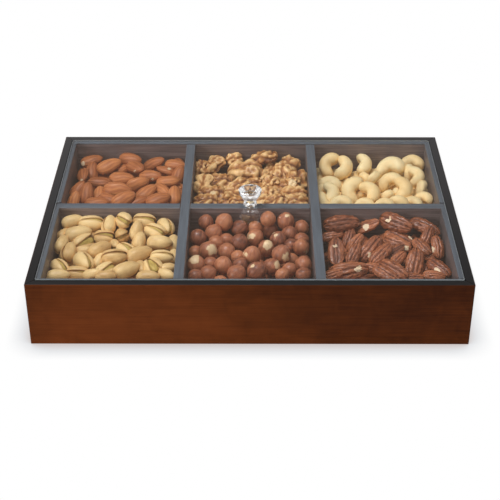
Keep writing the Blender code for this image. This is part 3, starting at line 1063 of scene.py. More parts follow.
@dataclass(frozen=True)
class Walnut(Nut):
    """A walnut half: two lobes of rounded folds on either side of a cleft."""

    length: float = 28.5 * MM
    width: float = 22.5 * MM
    thickness: float = 15.0 * MM
    spokes: int = 54
    rings: int = 38
    facing: float = 18.0
    fold_swell: float = 0.18          # these shares are of half the nut's width
    lump_swell: float = 0.24
    cleft_depth: float = 0.30
    cleft_width: float = 0.12
    waist: float = 0.22
    underside: float = 0.55
    blunt: float = 2.6

    def shape(self, unit: Vector, seed: int) -> tuple[Vector, float]:
        """Folds the ball's surface, and parts it into two lobes with a waist.

        Args:
            unit: the point on the ball.
            seed: the number of the nut's own form.

        Returns:
            The point on the nut, and its relief from zero to one.
        """
        offset = Vector((seed * 7.3, seed * 3.1, seed * 1.7))
        spot = Vector((unit.x * 3.0, unit.y * 2.5, unit.z * 1.9)) + offset
        fold = math.sin(min(1.0, abs(noise.noise(spot * 0.62 - offset)) * 3.6) * math.pi / 2) ** 0.8
        lump = min(1.0, max(0.0, 0.55 + 1.15 * noise.noise(spot)))
        bend = unit.y + 0.10 * math.sin(unit.x * 4 + seed)
        cleft = bell(bend, self.cleft_width) if unit.z > -0.2 else 0.0
        waist = 1 - self.waist * bell(unit.x, 0.22) * abs(unit.y)
        notch = 1 - 0.14 * bell(unit.y, 0.3)
        swell = 0.70 + self.fold_swell * fold + self.lump_swell * lump
        swell += 0.10 * noise.noise(unit * 1.4 + offset)
        swell -= self.cleft_depth * cleft
        under = 1.0 if unit.z > 0 else self.underside
        # painted shade: the relief, and so the colour, is darker in the cleft and towards the nut's underside
        below = min(1.0, max(0.0, (unit.z + 0.35) / 0.8))
        relief = (0.45 * fold + 0.6 * lump) * (1 - 0.8 * cleft) * (0.3 + 0.7 * below)
        swell *= bluntness(unit.x, self.blunt)
        return self.place(unit, notch * (0.90 + 0.10 * fold), waist * swell, swell * under), relief


@dataclass(frozen=True)
class Pecan(Nut):
    """A pecan half: a long dome with deep lengthwise grooves, flat and ridged below."""

    length: float = 27.0 * MM
    width: float = 12.8 * MM
    thickness: float = 9.6 * MM
    spokes: int = 60
    rings: int = 26
    facing: float = 18.0
    groove_depth: float = 0.28        # these shares are of half the nut's width
    roughness: float = 0.13
    underside: float = 0.5
    blunt: float = 2.6
    side_groove: float = 0.58         # from the middle groove, with half the width as one
    lower_groove: float = 0.26

    def shape(self, unit: Vector, seed: int) -> tuple[Vector, float]:
        """Cuts lengthwise grooves into a long dome: three above, two below.

        Args:
            unit: the point on the ball.
            seed: the number of the nut's own form.

        Returns:
            The point on the nut, and its relief from zero to one.
        """
        ring = math.hypot(unit.y, unit.z) or 1.0
        side = unit.y / ring + 0.06 * math.sin(unit.x * 3.2 + seed)
        side += 0.07 * noise.noise(Vector((unit.x * 4, seed * 3.0, 0.0)))
        if unit.z > 0:
            shallow = 0.35 + 0.9 * noise.noise(Vector((unit.x * 3, side * 2, seed * 5.0)))
            groove = bell(side, 0.10) + shallow * bell(abs(side) - self.side_groove, 0.08)
        else:
            groove = 1.1 * bell(abs(side) - self.lower_groove, 0.16)
        spot = Vector((unit.x * 7, unit.y * 4, unit.z * 4 + seed * 3.0))
        rough = noise.noise(spot) + 0.6 * noise.noise(spot * 2.1)
        swell = (1 - self.groove_depth * groove + self.roughness * rough) * bluntness(unit.x, self.blunt)
        swell *= 1 + 0.05 * noise.noise(unit * 2 + Vector((0.0, seed * 2.3, 0.0)))
        under = 1.0 if unit.z > 0 else self.underside
        relief = max(0.0, 0.75 - 0.75 * groove) + 0.55 * rough
        notch = 1 - 0.12 * bell(side, 0.22)
        return self.place(unit, notch, swell * (1 - 0.08 * unit.x), swell * under), relief


@dataclass(frozen=True)
class Pistachio(Nut):
    """A pistachio in its shell: two hard halves, hinged at one end, with the kernel between."""

    length: float = 19.4 * MM
    width: float = 11.8 * MM
    thickness: float = 12.4 * MM
    wall: float = 0.9 * MM
    spokes: int = 28
    rings: int = 18
    gapes: tuple[float, ...] = (1.5, 6.0, 10.0, 16.0, 26.0)     # degrees, one for each form
    hinge: float = 0.47               # from the middle, in the nut's length
    kernel: tuple[float, ...] = (0.88, 0.85, 0.90)              # its size, with the shell's as one
    kernel_detail: float = 0.8
    kernel_seed: int = 9
    unevenness: float = 0.04
    blunt: float = 2.7

    def shape(self, unit: Vector, seed: int) -> tuple[Vector, float]:
        """Draws the ball out to a pointed shell, with a seam where the two halves meet.

        Args:
            unit: the point on the ball.
            seed: the number of the nut's own form.

        Returns:
            The point on the nut, and its relief from zero to one.
        """
        taper = 1 - 0.16 * unit.x - 0.05 * unit.x ** 3
        wobble = 1 + self.unevenness * noise.noise(unit * 1.2 + Vector((seed * 2.7, 0.0, 0.0)))
        point = 1 + 0.06 * max(0.0, unit.x) ** 6
        relief = 1 - bell(unit.z, 0.10)
        swell = taper * wobble * bluntness(unit.x, self.blunt)
        return self.place(unit, point, swell, swell), relief

    def _grow(self, bm: bmesh.types.BMesh, seed: int, detail: float) -> None:
        """Builds the two shell halves and the kernel, or one closed ball where it lies deeper.

        Args:
            bm: the bmesh to fill.
            seed: the number of the nut's own form.
            detail: the share of the form's faces, along each way, that the mesh has.
        """
        if detail < 1:
            super()._grow(bm, seed, detail)
            return
        gape = math.radians(self.gapes[seed % len(self.gapes)])
        name_layers(bm)
        for side in (1, -1):
            half = bmesh.new()
            super()._grow(half, seed, detail)
            whole = half.verts[:] + half.edges[:] + half.faces[:]
            bmesh.ops.bisect_plane(half, geom=whole, dist=0.001 * MM, plane_co=(0.0, 0.0, 0.0),
                                   plane_no=(0.0, 0.0, -side), clear_outer=True)
            bmesh.ops.recalc_face_normals(half, faces=half.faces)
            outwards = sum(face.normal.dot(face.calc_center_median()) > 0 for face in half.faces)
            if outwards < len(half.faces) / 2:
                bmesh.ops.reverse_faces(half, faces=half.faces)
            self._thicken(half)
            bmesh.ops.rotate(half, verts=half.verts, cent=(-self.length * self.hinge, 0.0, 0.0),
                             matrix=Matrix.Rotation(-side * gape / 2, 3, "Y"))
            self._take(bm, half)
        kernel = bmesh.new()
        super()._grow(kernel, seed + self.kernel_seed, self.kernel_detail)
        bmesh.ops.scale(kernel, verts=kernel.verts, vec=self.kernel)
        for face in kernel.faces:
            face.material_index = 1
        self._take(bm, kernel)

    def _thicken(self, half: bmesh.types.BMesh) -> None:
        """Gives an open shell half its wall: an inner skin, and a rim that joins it to the outer.

        Bmesh's own operator for this puts its points in another order in each run, and the
        balls that stand for the nut follow that order.

        Args:
            half: the shell half.
        """
        half.normal_update()
        skin = half.faces[:]
        rim = [edge.link_loops[0] for edge in half.edges if edge.is_boundary]
        inner = {}
        for vert in half.verts[:]:
            depth = self.wall * vert.calc_shell_factor()
            inner[vert] = half.verts.new(vert.co - vert.normal * depth, vert)
        for face in skin:
            half.faces.new([inner[vert] for vert in reversed(face.verts[:])], face)
        for loop in rim:
            near, far = loop.vert, loop.link_loop_next.vert
            half.faces.new((far, near, inner[near], inner[far]), loop.face)

    def _take(self, bm: bmesh.types.BMesh, part: bmesh.types.BMesh) -> None:
        """Moves one part's geometry into the nut.

        Args:
            bm: the nut.
            part: the part, which is freed.
        """
        mesh = bpy.data.meshes.new("pistachio_part")
        part.to_mesh(mesh)
        part.free()
        bm.from_mesh(mesh)
        bpy.data.meshes.remove(mesh)


@dataclass
class Lying:
    """One nut of a heap: its form and size, and where and how it lies.

    A nut that the photograph shows has its sitting, and the direction that it is seen from.
    """

    form: int
    size: float
    spot: Vector
    turn: Matrix
    detail: int = 0
    sitting: Optional[Sitting] = None
    sight: tuple[float, ...] = (0.0, 0.0, 1.0)


class Pile:
    """Nuts as groups of balls, which push each other apart until they only touch.

    A nut that the photograph shows is drawn back to its place there, across the line of
    sight, and stays free along it. All the nuts sink a little, as poured ones do.
    """

    pairs_last: int = 8                # rounds that a list of neighbours is used for
    overshoot: float = 1.2             # how much of the mean push is taken in one round
    swing_share: float = 0.8
    soft_arm: float = 3 * MM           # keeps a push near the middle from spinning a nut
    most_swing: float = 0.06           # radians in one round
    sink_falls: float = 0.9            # the share of the sinking that is gone by the last round

    def __init__(self, nuts: Sequence[Lying], balls: Sequence[np.ndarray], low: Vector, high: Vector) -> None:
        """Takes in the nuts.

        Args:
            nuts: the nuts that move.
            balls: the balls of each form, as rows of a middle and a radius.
            low: the lowest corner of the room that they have.
            high: its highest corner.
        """
        self.nuts = nuts
        groups = [balls[nut.form] * nut.size for nut in nuts]
        rows = np.vstack(groups)
        self.owner = np.repeat(np.arange(len(nuts)), [len(group) for group in groups])
        self.local, self.radius = rows[:, :3], rows[:, 3:]
        self.low, self.high = np.array(low), np.array(high)
        self.spot = np.array([nut.spot for nut in nuts])
        self.turn = np.array([nut.turn for nut in nuts])
        self.home, self.home_turn = self.spot.copy(), self.turn.copy()
        self.sight = np.array([nut.sight for nut in nuts])
        self.held = np.array([[0.0 if nut.sitting is None else 1.0] for nut in nuts])

    def settle(self, rounds: int = 180, sink: float = 0.10 * MM, hold: float = 0.4,
               keep: float = 0.3) -> None:
        """Moves the nuts until they lie still, and writes their places back.

        Args:
            rounds: how many times they are moved.
            sink: how far they sink in the first round, and less in later ones.
            hold: how strongly a seen nut is drawn back to its place.
            keep: how strongly it keeps the way that it is turned.
        """
        for count in range(rounds):
            arm, place = self._places()
            if count % self.pairs_last == 0:
                one, two = self._neighbours(place)
            push, touches = self._push(place, one, two)
            nuts = len(self.nuts)
            whole, twist = np.zeros((nuts, 3)), np.zeros((nuts, 3))
            np.add.at(whole, self.owner, push)
            np.add.at(twist, self.owner, np.cross(arm, push))
            hits = np.bincount(self.owner, touches, nuts)[:, None]
            spread = np.bincount(self.owner, touches * (arm ** 2).sum(axis=1), nuts)[:, None]
            pull = hold * self.held * self._strayed()
            self.spot += self.overshoot * whole / np.maximum(hits, 1) + pull
            self.spot[:, 2] -= sink * (1 - self.sink_falls * count / rounds)
            swing = self.swing_share * twist / (spread + self.soft_arm ** 2)
            swing += keep * self.held * self._unturned()
            self._swing(np.clip(swing, -self.most_swing, self.most_swing))
        for nut, spot, turn in zip(self.nuts, self.spot, self.turn):
            nut.spot, nut.turn = Vector(spot), Matrix(turn.tolist())

    def drift(self) -> float:
        """Returns how far, on average, the seen nuts ended from their lines of sight, in metres."""
        return float(np.linalg.norm(self._strayed()[self.held[:, 0] > 0], axis=1).mean())

    def overlap(self) -> float:
        """Measures the deepest overlap that is left between two nuts.

        Returns:
            The overlap in metres.
        """
        place = self._places()[1]
        one, two = self._neighbours(place)
        away = np.linalg.norm(place[one] - place[two], axis=1)
        return float((self.radius[one, 0] + self.radius[two, 0] - away).max())

    def _strayed(self) -> np.ndarray:
        """Finds each nut's way back to its line of sight.

        Returns:
            One row for each nut, in metres, across the line of sight.
        """
        back = self.home - self.spot
        back -= (back * self.sight).sum(axis=1)[:, None] * self.sight
        return back

    def _places(self) -> tuple[np.ndarray, np.ndarray]:
        """Returns each ball's arm from its nut's middle, and its place."""
        arm = np.einsum("nij,nj->ni", self.turn[self.owner], self.local)
        return arm, arm + self.spot[self.owner]

    def _neighbours(self, place: np.ndarray, margin: float = 2.5 * MM) -> tuple[np.ndarray, np.ndarray]:
        """Finds the pairs of balls, of different nuts, that may meet soon.

        Args:
            place: the balls' middles.
            margin: how far apart they may be.

        Returns:
            The first and the second ball of each pair.
        """
        away = np.linalg.norm(place[:, None] - place[None], axis=2) - self.radius - self.radius.T
        other = self.owner[:, None] < self.owner[None]
        return np.nonzero((away < margin) & other)

    def _push(self, place: np.ndarray, one: np.ndarray, two: np.ndarray) -> tuple[np.ndarray, np.ndarray]:
        """Works out how far each ball is pushed by others and by the walls.

        Args:
            place: the balls' middles.
            one: the first ball of each pair.
            two: the second one.

        Returns:
            Each ball's push, and how many things touch it.
        """
        gap = place[one] - place[two]
        away = np.linalg.norm(gap, axis=1)[:, None] + 1e-9      # never zero
        deep = np.maximum(self.radius[one] + self.radius[two] - away, 0)
        half = gap / away * deep / 2
        met = (deep[:, 0] > 0).astype(float)
        wall = np.maximum(self.low + self.radius - place, 0) - np.maximum(place + self.radius - self.high, 0)
        push = wall.copy()
        np.add.at(push, one, half)
        np.add.at(push, two, -half)
        touches = (wall != 0).any(axis=1).astype(float)
        np.add.at(touches, one, met)
        np.add.at(touches, two, met)
        return push, touches

    def _unturned(self) -> np.ndarray:
        """Finds the turn that brings each nut back to how it was turned at the start.

        Returns:
            One row for each nut: the axis times the angle, which holds for small angles.
        """
        left = np.einsum("nij,nkj->nik", self.home_turn, self.turn)
        return 0.5 * np.stack((left[:, 2, 1] - left[:, 1, 2], left[:, 0, 2] - left[:, 2, 0],
                               left[:, 1, 0] - left[:, 0, 1]), axis=1)

    def _swing(self, swing: np.ndarray) -> None:
        """Turns each nut.

        Args:
            swing: one row for each nut: the axis times the angle.
        """
        angle = np.linalg.norm(swing, axis=1)[:, None, None] + 1e-12
        cross = np.zeros((len(swing), 3, 3))
        cross[:, 0, 1], cross[:, 0, 2], cross[:, 1, 2] = -swing[:, 2], swing[:, 1], -swing[:, 0]
        cross -= cross.transpose(0, 2, 1)
        cross /= angle
        step = np.eye(3) + np.sin(angle) * cross + (1 - np.cos(angle)) * cross @ cross
        self.turn = step @ self.turn


@dataclass(frozen=True)
class Heap:
    """One compartment's nuts: the seen layer as the photograph shows it, and the layers below."""

    name: str
    kind: Nut
    opening: str
    finishes: tuple[NutFinish, ...]
    top: tuple[tuple[float, ...], ...]
    seed: int
    forms: int = 4
    crest: float = 45.0 * MM           # height of the nuts' tops where level is zero
    ceiling: float = 52.5 * MM         # the lid's underside, less a little
    strip: float = 26 * MM             # depth of the strip by the front wall that the camera can't see
    second: float = 0.86               # how thinly the second layer is set
    apart: float = 1.0                 # how much larger a nut is for its neighbours than its form
    details: tuple[float, ...] = (1.0, 0.55, 0.25)          # seen, second and deeper layers
    shelf: float = 2.2                 # in thicknesses of the nut: how deep the nuts are settled,
    second_depth: float = 1.35         # how deep the second layer's middles lie,
    first_rise: float = 0.45           # how high the lowest layer's lie,
    rise: float = 0.8                  # the step between the deeper layers,
    last_gap: float = 0.25             # and the least room that they leave below the settled ones
    deeper: float = 0.9                # how thinly the deeper layers are set
    tries: int = 120                   # places that are tried in the strip by the front wall
    strip_apart: float = 0.8           # how far apart its nuts lie, in their own mean width
    jitter: tuple[float, float] = (0.35, 0.65)              # where in its cell a nut may lie
    tilt: float = 0.3                  # radians either way, for a loose nut
    rock: float = 0.5
    sizes: tuple[float, float] = (0.9, 1.05)
    unchipped: float = -10 * MM        # the bare attribute away from a chip
    behind: float = -1 * MM            # a chip doesn't reach further round the nut than this

    def build(self, studio: Studio) -> bpy.types.Object:
        """Builds the heap as one piece.

        Args:
            studio: the camera that the sittings are given for.

        Returns:
            The piece.
        """
        rng = random.Random(self.seed)
        low, high = self._walls()
        forms = [[self.kind.mesh(s, d) for s in range(self.forms)] for d in self.details]
        thick = self.kind.thickness
        shelf = max(low.z, self.crest - self.shelf * thick)
        nuts = [self._as_seen(Sitting(*row), count, studio) for count, row in enumerate(self.top)]
        seen = len(nuts)
        self._front_strip(nuts, low, high, rng)
        self._layer(nuts, self.crest - self.second_depth * thick, 1, self.second, low, high, rng)
        balls = [fill_with_balls(form) * self.apart for form in forms[0]]
        pile = Pile(nuts, balls, Vector((low.x, low.y, shelf)), Vector((high.x, high.y, self.ceiling)))
        pile.settle()
        LOG.info("%s: %d seen of %d, overlap %.2f mm, drift %.2f mm", self.name, seen, len(nuts),
                 pile.overlap() / MM, pile.drift() / MM)
        level = low.z + thick * self.first_rise
        while level < shelf - thick * self.last_gap:
            self._layer(nuts, level, 2, self.deeper, low, high, rng)
            level += thick * self.rise
        heap = bmesh.new()
        name_layers(heap)
        for nut in nuts:
            self._add(heap, forms[nut.detail][nut.form], nut, rng.random(), studio)
        piece = finish_mesh(heap, self.name, [f.make() for f in self.finishes])
        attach(piece, "tray")
        LOG.info("%s: %d nuts, %d faces", self.name, len(nuts), len(piece.data.polygons))
        return piece

    def _as_seen(self, sitting: Sitting, count: int, studio: Studio) -> Lying:
        """Places a nut where the photograph shows it.

        Args:
            sitting: its place in the picture.
            count: its number in the table, which chooses its form.
            studio: the camera.

        Returns:
            The nut.
        """
        form = sitting.form if sitting.form >= 0 else count % self.forms
        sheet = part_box("lid_panel")
        height = self.crest - self.kind.thickness * sitting.size / 2 + sitting.level * MM
        spot = studio.under_lid(sitting.across, sitting.down, height, sheet[1][2] - sheet[0][2])
        shortened = math.cos(math.radians(studio.aim[0] - self.kind.facing))
        lean = math.radians(sitting.lean)
        plan = math.atan2(math.sin(lean) / shortened, math.cos(lean)) + math.radians(self.kind.lean_offset)
        turn = (Matrix.Rotation(math.radians(self.kind.facing), 3, "X") @ Matrix.Rotation(plan, 3, "Z")
                @ Matrix.Rotation(math.radians(-sitting.pitch), 3, "Y")
                @ Matrix.Rotation(math.radians(sitting.roll), 3, "X"))
        sight = tuple(studio.ray(sitting.across, sitting.down))
        return Lying(form, sitting.size, spot, turn, 0, sitting, sight)

    def _walls(self) -> tuple[Vector, Vector]:
        """Finds the compartment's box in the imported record.

        Returns:
            Its lowest and highest corners.
        """
        for opening in frame["record"]["physics"]["openings"]:
            if opening["name"] == self.opening:
                return Vector(opening["box_m"][0]), Vector(opening["box_m"][1])
        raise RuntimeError(f"the record has no opening named {self.opening}")

    def _loose(self, spot: Vector, detail: int, rng: random.Random) -> Lying:
        """Makes a nut that lies any way round, near flat.

        Args:
            spot: its middle.
            detail: which of the details its mesh has.
            rng: the heap's own random numbers.

        Returns:
            The nut.
        """
        turn = (Matrix.Rotation(rng.uniform(0, 2 * math.pi), 3, "Z")
                @ Matrix.Rotation(rng.uniform(-self.tilt, self.tilt), 3, "Y")
                @ Matrix.Rotation(rng.uniform(-self.rock, self.rock), 3, "X"))
        return Lying(rng.randrange(self.forms), rng.uniform(*self.sizes), spot, turn, detail)

    def _front_strip(self, nuts: list[Lying], low: Vector, high: Vector, rng: random.Random) -> None:
        """Fills the strip by the front wall, which the photograph doesn't show.

        Args:
            nuts: the nuts so far; the new ones join them.
            low: the compartment's lowest corner.
            high: its highest corner.
            rng: the heap's own random numbers.
        """
        apart = self.strip_apart * (self.kind.length + self.kind.width) / 2
        edge = self.kind.width / 2
        level = self.crest - self.kind.thickness / 2
        for _ in range(self.tries):
            x = rng.uniform(low.x + edge, high.x - edge)
            y = rng.uniform(low.y + edge, low.y + self.strip)
            spot = Vector((x, y, level))
            if all((spot.xy - other.spot.xy).length > apart for other in nuts):
                nuts.append(self._loose(spot, 0, rng))

    def _layer(self, nuts: list[Lying], level: float, detail: int, thin: float, low: Vector, high: Vector,
               rng: random.Random) -> None:
        """Adds a layer of nuts below the seen one.

        Args:
            nuts: the nuts so far; the new ones join them.
            level: the height of their middles.
            detail: which of the details their meshes have.
            thin: how far apart they lie, in their own mean width.
            low: the compartment's lowest corner.
            high: its highest corner.
            rng: the heap's own random numbers.
        """
        step = thin * (self.kind.length + self.kind.width) / 2
        room = (high - low).xy
        edge = self.kind.length / 2
        across, deep = (max(2, int(r / step)) for r in room)
        for i in range(across):
            for j in range(deep):
                x = low.x + (i + rng.uniform(*self.jitter)) * room.x / across
                y = low.y + (j + rng.uniform(*self.jitter)) * room.y / deep
                x = min(max(x, low.x + edge), high.x - edge)
                y = min(max(y, low.y + edge), high.y - edge)
                nuts.append(self._loose(Vector((x, y, level)), detail, rng))

    def _add(self, heap: bmesh.types.BMesh, form: bpy.types.Mesh, nut: Lying, tint: float,
             studio: Studio) -> None:
        """Adds one nut to the heap's mesh.

        Args:
            heap: the heap so far.
            form: the nut's mesh.
            nut: where it lies.
            tint: its own tone, from zero to one.
            studio: the camera that its chip is given for.
        """
        first = len(heap.verts)
        heap.from_mesh(form)
        heap.verts.ensure_lookup_table()
        fresh = heap.verts[first:]
        place = Matrix.Translation(nut.spot) @ nut.turn.to_4x4() @ Matrix.Scale(nut.size, 4)
        bmesh.ops.transform(heap, matrix=place, verts=fresh)
        tints, bares = heap.verts.layers.float["tint"], heap.verts.layers.float["bare"]
        seen = studio.turn().transposed()
        # a chip marks a pale place: bare flesh, and on some nuts a painted highlight
        chip = nut.sitting if nut.sitting and nut.sitting.chip_reach else None
        pixel = studio.pixel(nut.spot)
        for vert in fresh:
            vert[tints] = tint
            vert[bares] = self.unchipped
            offset = seen @ (vert.co - nut.spot)
            if chip and offset.z > self.behind:
                away = math.hypot(offset.x - chip.chip_across * pixel, offset.y - chip.chip_up * pixel)
                vert[bares] = chip.chip_reach * pixel - away


@dataclass(frozen=True)
class Tray:
    """The box: four outer boards, six liner strips, three dividers and the base."""

    long_boards: tuple[str, ...] = ("front_board", "back_board")
    short_boards: tuple[str, ...] = ("left_board", "right_board")
    long_strips: tuple[str, ...] = ("front_liner", "back_liner", "long_divider")
    short_strips: tuple[str, ...] = ("left_liner_front", "left_liner_back", "right_liner_front",
                                     "right_liner_back", "cross_divider_left", "cross_divider_right")
    half_length: float = 0.175
    half_depth: float = 0.125

    def dress(self) -> None:
        """Gives each board its finish."""
        lengthways, depthways = Grain.ALONG_LENGTH, Grain.ALONG_DEPTH
        dress(self.long_boards, StainedWood(lengthways, self.half_depth).make())
        dress(self.short_boards, StainedWood(depthways, self.half_length).make())
        # painted light and shade: the long strips take a lighter copy of the stain, the short strips a darker
        # one
        dress(self.long_strips, BlackenedWood("blackened_beech_long_painted_light", lengthways).make())
        dress(self.short_strips, BlackenedWood("blackened_beech_short_painted_shade", depthways, dark="#544B4A",
                                               light="#7C7170").make())
        dress(("base_panel",), BlackenedWood("black_board", lengthways, dark="#1E1C1B", light="#2C2928",
                                             gloss=0.25, roughness=0.6).make())


@dataclass(frozen=True)
class Lid:
    """The clear panel and its knob, with the insert and the screw that hold it."""

    panel: str = "lid_panel"
    knob: str = "knob"
    insert: str = "knob_insert"
    screw: str = "knob_screw"

    def dress(self) -> None:
        """Gives the lid's parts their finishes."""
        dress((self.panel,), ClearAcrylic().make())
        dress((self.knob,), CutCrystal().make())
        dress((self.insert,), TurnedMetal("turned_brass", "#EAD6B0", "#C9AE82").make())
        dress((self.screw,), TurnedMetal("plated_steel", "#D3C9BC", "#A0958A").make())


def dress(nodes: Sequence[str], material: bpy.types.Material) -> None:
    """Puts a finish on CAD nodes.

    Args:
        nodes: the nodes' names.
        material: the finish.
    """
    for name in nodes:
        node = frame["nodes"][name]
        if not node.material_slots:
            node.data.materials.append(material)
        for slot in node.material_slots:
            slot.material = material
        LOG.info("%s: %s", name, material.name)


# The relief weight of each finish sets how strongly it paints shade into the hollows and light onto the
# swellings.
ALMOND_SKIN = NutFinish("almond_skin", "#80441F", "#B36A3B", "#D98E52", "#E2C6A2", around=7.0, by_relief_painted_shade=0.25,
                        by_streak=0.32, by_tint=0.35, roughness=0.36, gloss=0.32)
WALNUT_FLESH = NutFinish("walnut_flesh", "#74421E", "#BC7F42", "#F6C888", "#EFCF9E", around=2.5, by_relief_painted_shade=0.85,
                         by_streak=0.4, by_tint=0.4, roughness=0.32, gloss=0.5)
CASHEW_FLESH = NutFinish("cashew_flesh", "#D8A666", "#FCD898", "#FFEEBC", "#F8E6C0", around=1.6, by_relief_painted_shade=0.25,
                         by_streak=0.2, by_tint=0.25, roughness=0.45)
PISTACHIO_SHELL = NutFinish("pistachio_shell", "#966530", "#D4A96C", "#F3D092", "#F6E3BE", around=2.0,
                            by_relief_painted_shade=0.5, by_streak=0.3, by_tint=0.45, by_cloud=0.3, roughness=0.36, gloss=0.4)
PISTACHIO_KERNEL = NutFinish("pistachio_kernel", "#8A6438", "#C2A654", "#DABF74", "#B7A86A", around=3.0,
                             by_relief_painted_shade=0.0, by_streak=0.6)
HAZEL_SKIN = NutFinish("hazelnut_skin", "#6C3C2A", "#A66546", "#C58058", "#EBCB9E", around=6.0, by_relief_painted_shade=0.2,
                       by_streak=0.38, by_tint=0.5, by_cloud=0.4, cloud=5 * MM, chip_wander=8 * MM,
                       chip_blur=0.8 * MM, roughness=0.28, gloss=0.4)
PECAN_FLESH = NutFinish("pecan_flesh", "#5A2C16", "#884B2D", "#B9714A", "#F2D8B4", around=4.0, by_relief_painted_shade=0.75,
                        by_streak=0.25, by_tint=0.4, roughness=0.3, gloss=0.45)

# One row for each nut that the camera sees, read off, in the order of Sitting's fields.
ALMONDS = (
    (92.5, 171.1, 88, 20, 10, 0.95, -4),
    (130.4, 159.5, -12, 5, 15, 1.05, -1),
    (175.4, 164.9, -10, 5, 0, 0.95, -3),
    (124.0, 169.1, 20, 0, 0, 0.8, -6),
    (91.7, 160.9, 12, 8, 0, 1.0, 0, -7.6, -3.2, 1.8),
    (109.2, 165.9, 22, 6, 10, 1.14, 0),
    (136.0, 167.5, -42, 20, 0, 1.12, 1.5, 0.0, -3.6, 1.1),
    (153.9, 163.9, 2, 28, 0, 1.05, 0),
    (165.6, 170.5, 168, 10, 15, 0.85, 0, 4.0, 1.6, 1.3),
    (178.0, 175.1, 62, 25, 0, 0.95, -2),
    (83.3, 175.7, -80, 12, 35, 0.95, 0, -1.2, -4.9, 1.6),
    (99.3, 182.3, 178, 5, 0, 1.0, 0),
    (121.8, 178.3, -4, 4, 0, 1.1, 1),
    (150.3, 175.9, -8, 8, 10, 1.0, 1, 2.4, -3.3, 1.3),
    (168.1, 181.5, 4, 6, 0, 1.02, 0),
    (137.9, 184.5, 16, 8, 55, 1.02, -1),
    (77.4, 189.6, 40, 25, 0, 0.9, -2),
    (161.9, 189.8, -38, 8, 0, 0.95, -2),
    (99.3, 195.0, 86, 15, 0, 0.9, -3),
    (86.4, 193.6, 78, 25, 0, 1.02, 0),
    (117.6, 191.0, -2, 3, 50, 1.24, 1),
    (146.5, 192.9, 34, 10, 0, 1.08, 1),
    (174.2, 195.2, 92, 12, 0, 0.98, 0),
    (73.8, 200.7, 60, 35, 0, 0.85, -1),
    (108.0, 199.9, -22, 8, 15, 0.95, -3),
    (123.8, 199.2, 26, 6, 20, 1.1, 0),
    (137.1, 202.3, 22, 8, 0, 1.0, -2),
    (158.3, 199.9, 14, 6, 10, 1.08, 0),
    (96.9, 203.0, 2, 5, 0, 1.0, -1),
    (179.0, 163.9, -60, 10, 0, 0.8, -6),
)
WALNUTS = (
    (234.4, 158.9, 10, 5, 20, 0.62, -3),
    (200.4, 167.5, 70, 10, 0, 0.7, -3),
    (213.1, 164.6, 40, 12, -20, 0.92, 0),
    (263.7, 157.7, 3, 10, -35, 1.05, 0),
    (288.9, 163.9, -35, 12, 10, 0.85, 0),
    (271.7, 169.7, 62, 10, 0, 0.85, -1),
    (244.2, 170.9, 2, 12, -12, 1.3, 3),
    (281.7, 174.3, 75, 12, 0, 0.9, 0),
    (299.4, 179.9, 72, 10, 0, 0.95, 0),
    (292.8, 183.4, 80, 12, 0, 0.6, 3, 0.0, 0.4, 3.6),
    (202.0, 183.4, 65, 10, 0, 0.85, 0),
    (219.1, 182.3, -4, 8, 0, 0.98, 1),
    (239.0, 185.8, 30, 10, 0, 0.8, 0),
    (269.7, 182.6, 50, 10, 0, 0.75, 0),
    (281.3, 188.6, -40, 10, 0, 0.95, 0),
    (210.3, 195.0, 4, 8, 0, 1.0, 1, 3.2, 0.8, 3.2),
    (233.4, 194.2, -20, 8, 0, 0.85, 0),
    (267.3, 195.0, 75, 10, 0, 0.85, 1),
    (294.4, 195.0, -3, 8, 0, 0.98, 0),
    (204.3, 202.2, 0, 6, 0, 0.9, -1),
    (223.5, 201.8, 10, 6, 0, 0.9, -1),
    (239.4, 202.6, -5, 6, 0, 0.8, -1),
    (259.4, 201.8, 0, 6, 0, 0.85, -1),
    (276.1, 201.4, 20, 6, 0, 0.8, 0),
    (299.2, 202.2, 0, 6, 0, 0.85, -1),
    (253.0, 184.6, 0, 5, 0, 0.8, -4),
    (260.2, 175.9, 60, 5, 0, 0.7, -4),
)
CASHEWS = (
    (412.8, 162.4, -95, 0, 0, 1.0, -3),
    (409.1, 173.5, 0, 10, 90, 0.8, -6),
    (319.3, 192.2, 0, 0, 0, 0.7, -4),
    (365.9, 178.7, 30, 5, 90, 0.7, -9),
    (421.4, 189.4, -10, 10, 80, 0.8, -3),
    (328.3, 164.5, -20, 4, 0, 1.04, 0),
    (343.8, 168.2, 168, 3, 0, 1.08, 1),
    (364.2, 164.5, 178, 12, 0, 1.0, 1),
    (390.8, 166.1, -88, 18, 0, 1.2, 2),
    (416.7, 176.7, 182, 8, 0, 0.92, 0),
    (329.6, 184.1, -100, 15, 0, 1.0, -1),
    (331.4, 194.3, 180, 6, 0, 1.02, 1),
    (351.2, 190.6, -14, 6, 0, 1.2, 1),
    (359.3, 196.5, -60, 50, 90, 0.75, -7),
    (370.9, 192.2, -158, 8, 0, 1.04, 2),
    (374.9, 176.9, 140, 35, 80, 0.75, -6),
    (389.4, 180.8, -64, 10, 0, 0.98, 1),
    (385.5, 198.0, -60, 50, 90, 0.75, -5),
    (403.4, 189.8, 178, 6, 0, 1.1, 2),
    (395.7, 195.3, -30, 20, 60, 0.75, -6),
    (423.0, 198.4, -100, 20, 0, 0.85, 0),
    (325.9, 203.3, 60, 10, 0, 0.9, -1),
    (341.0, 202.9, -90, 10, 0, 0.9, -1),
    (364.2, 204.5, -90, 10, 0, 0.85, -2),
    (397.7, 202.9, -90, 10, 40, 0.9, 0),
    (411.2, 203.7, -90, 10, 0, 0.85, -1),
    (384.2, 204.5, -90, 10, 0, 0.8, -2),
)
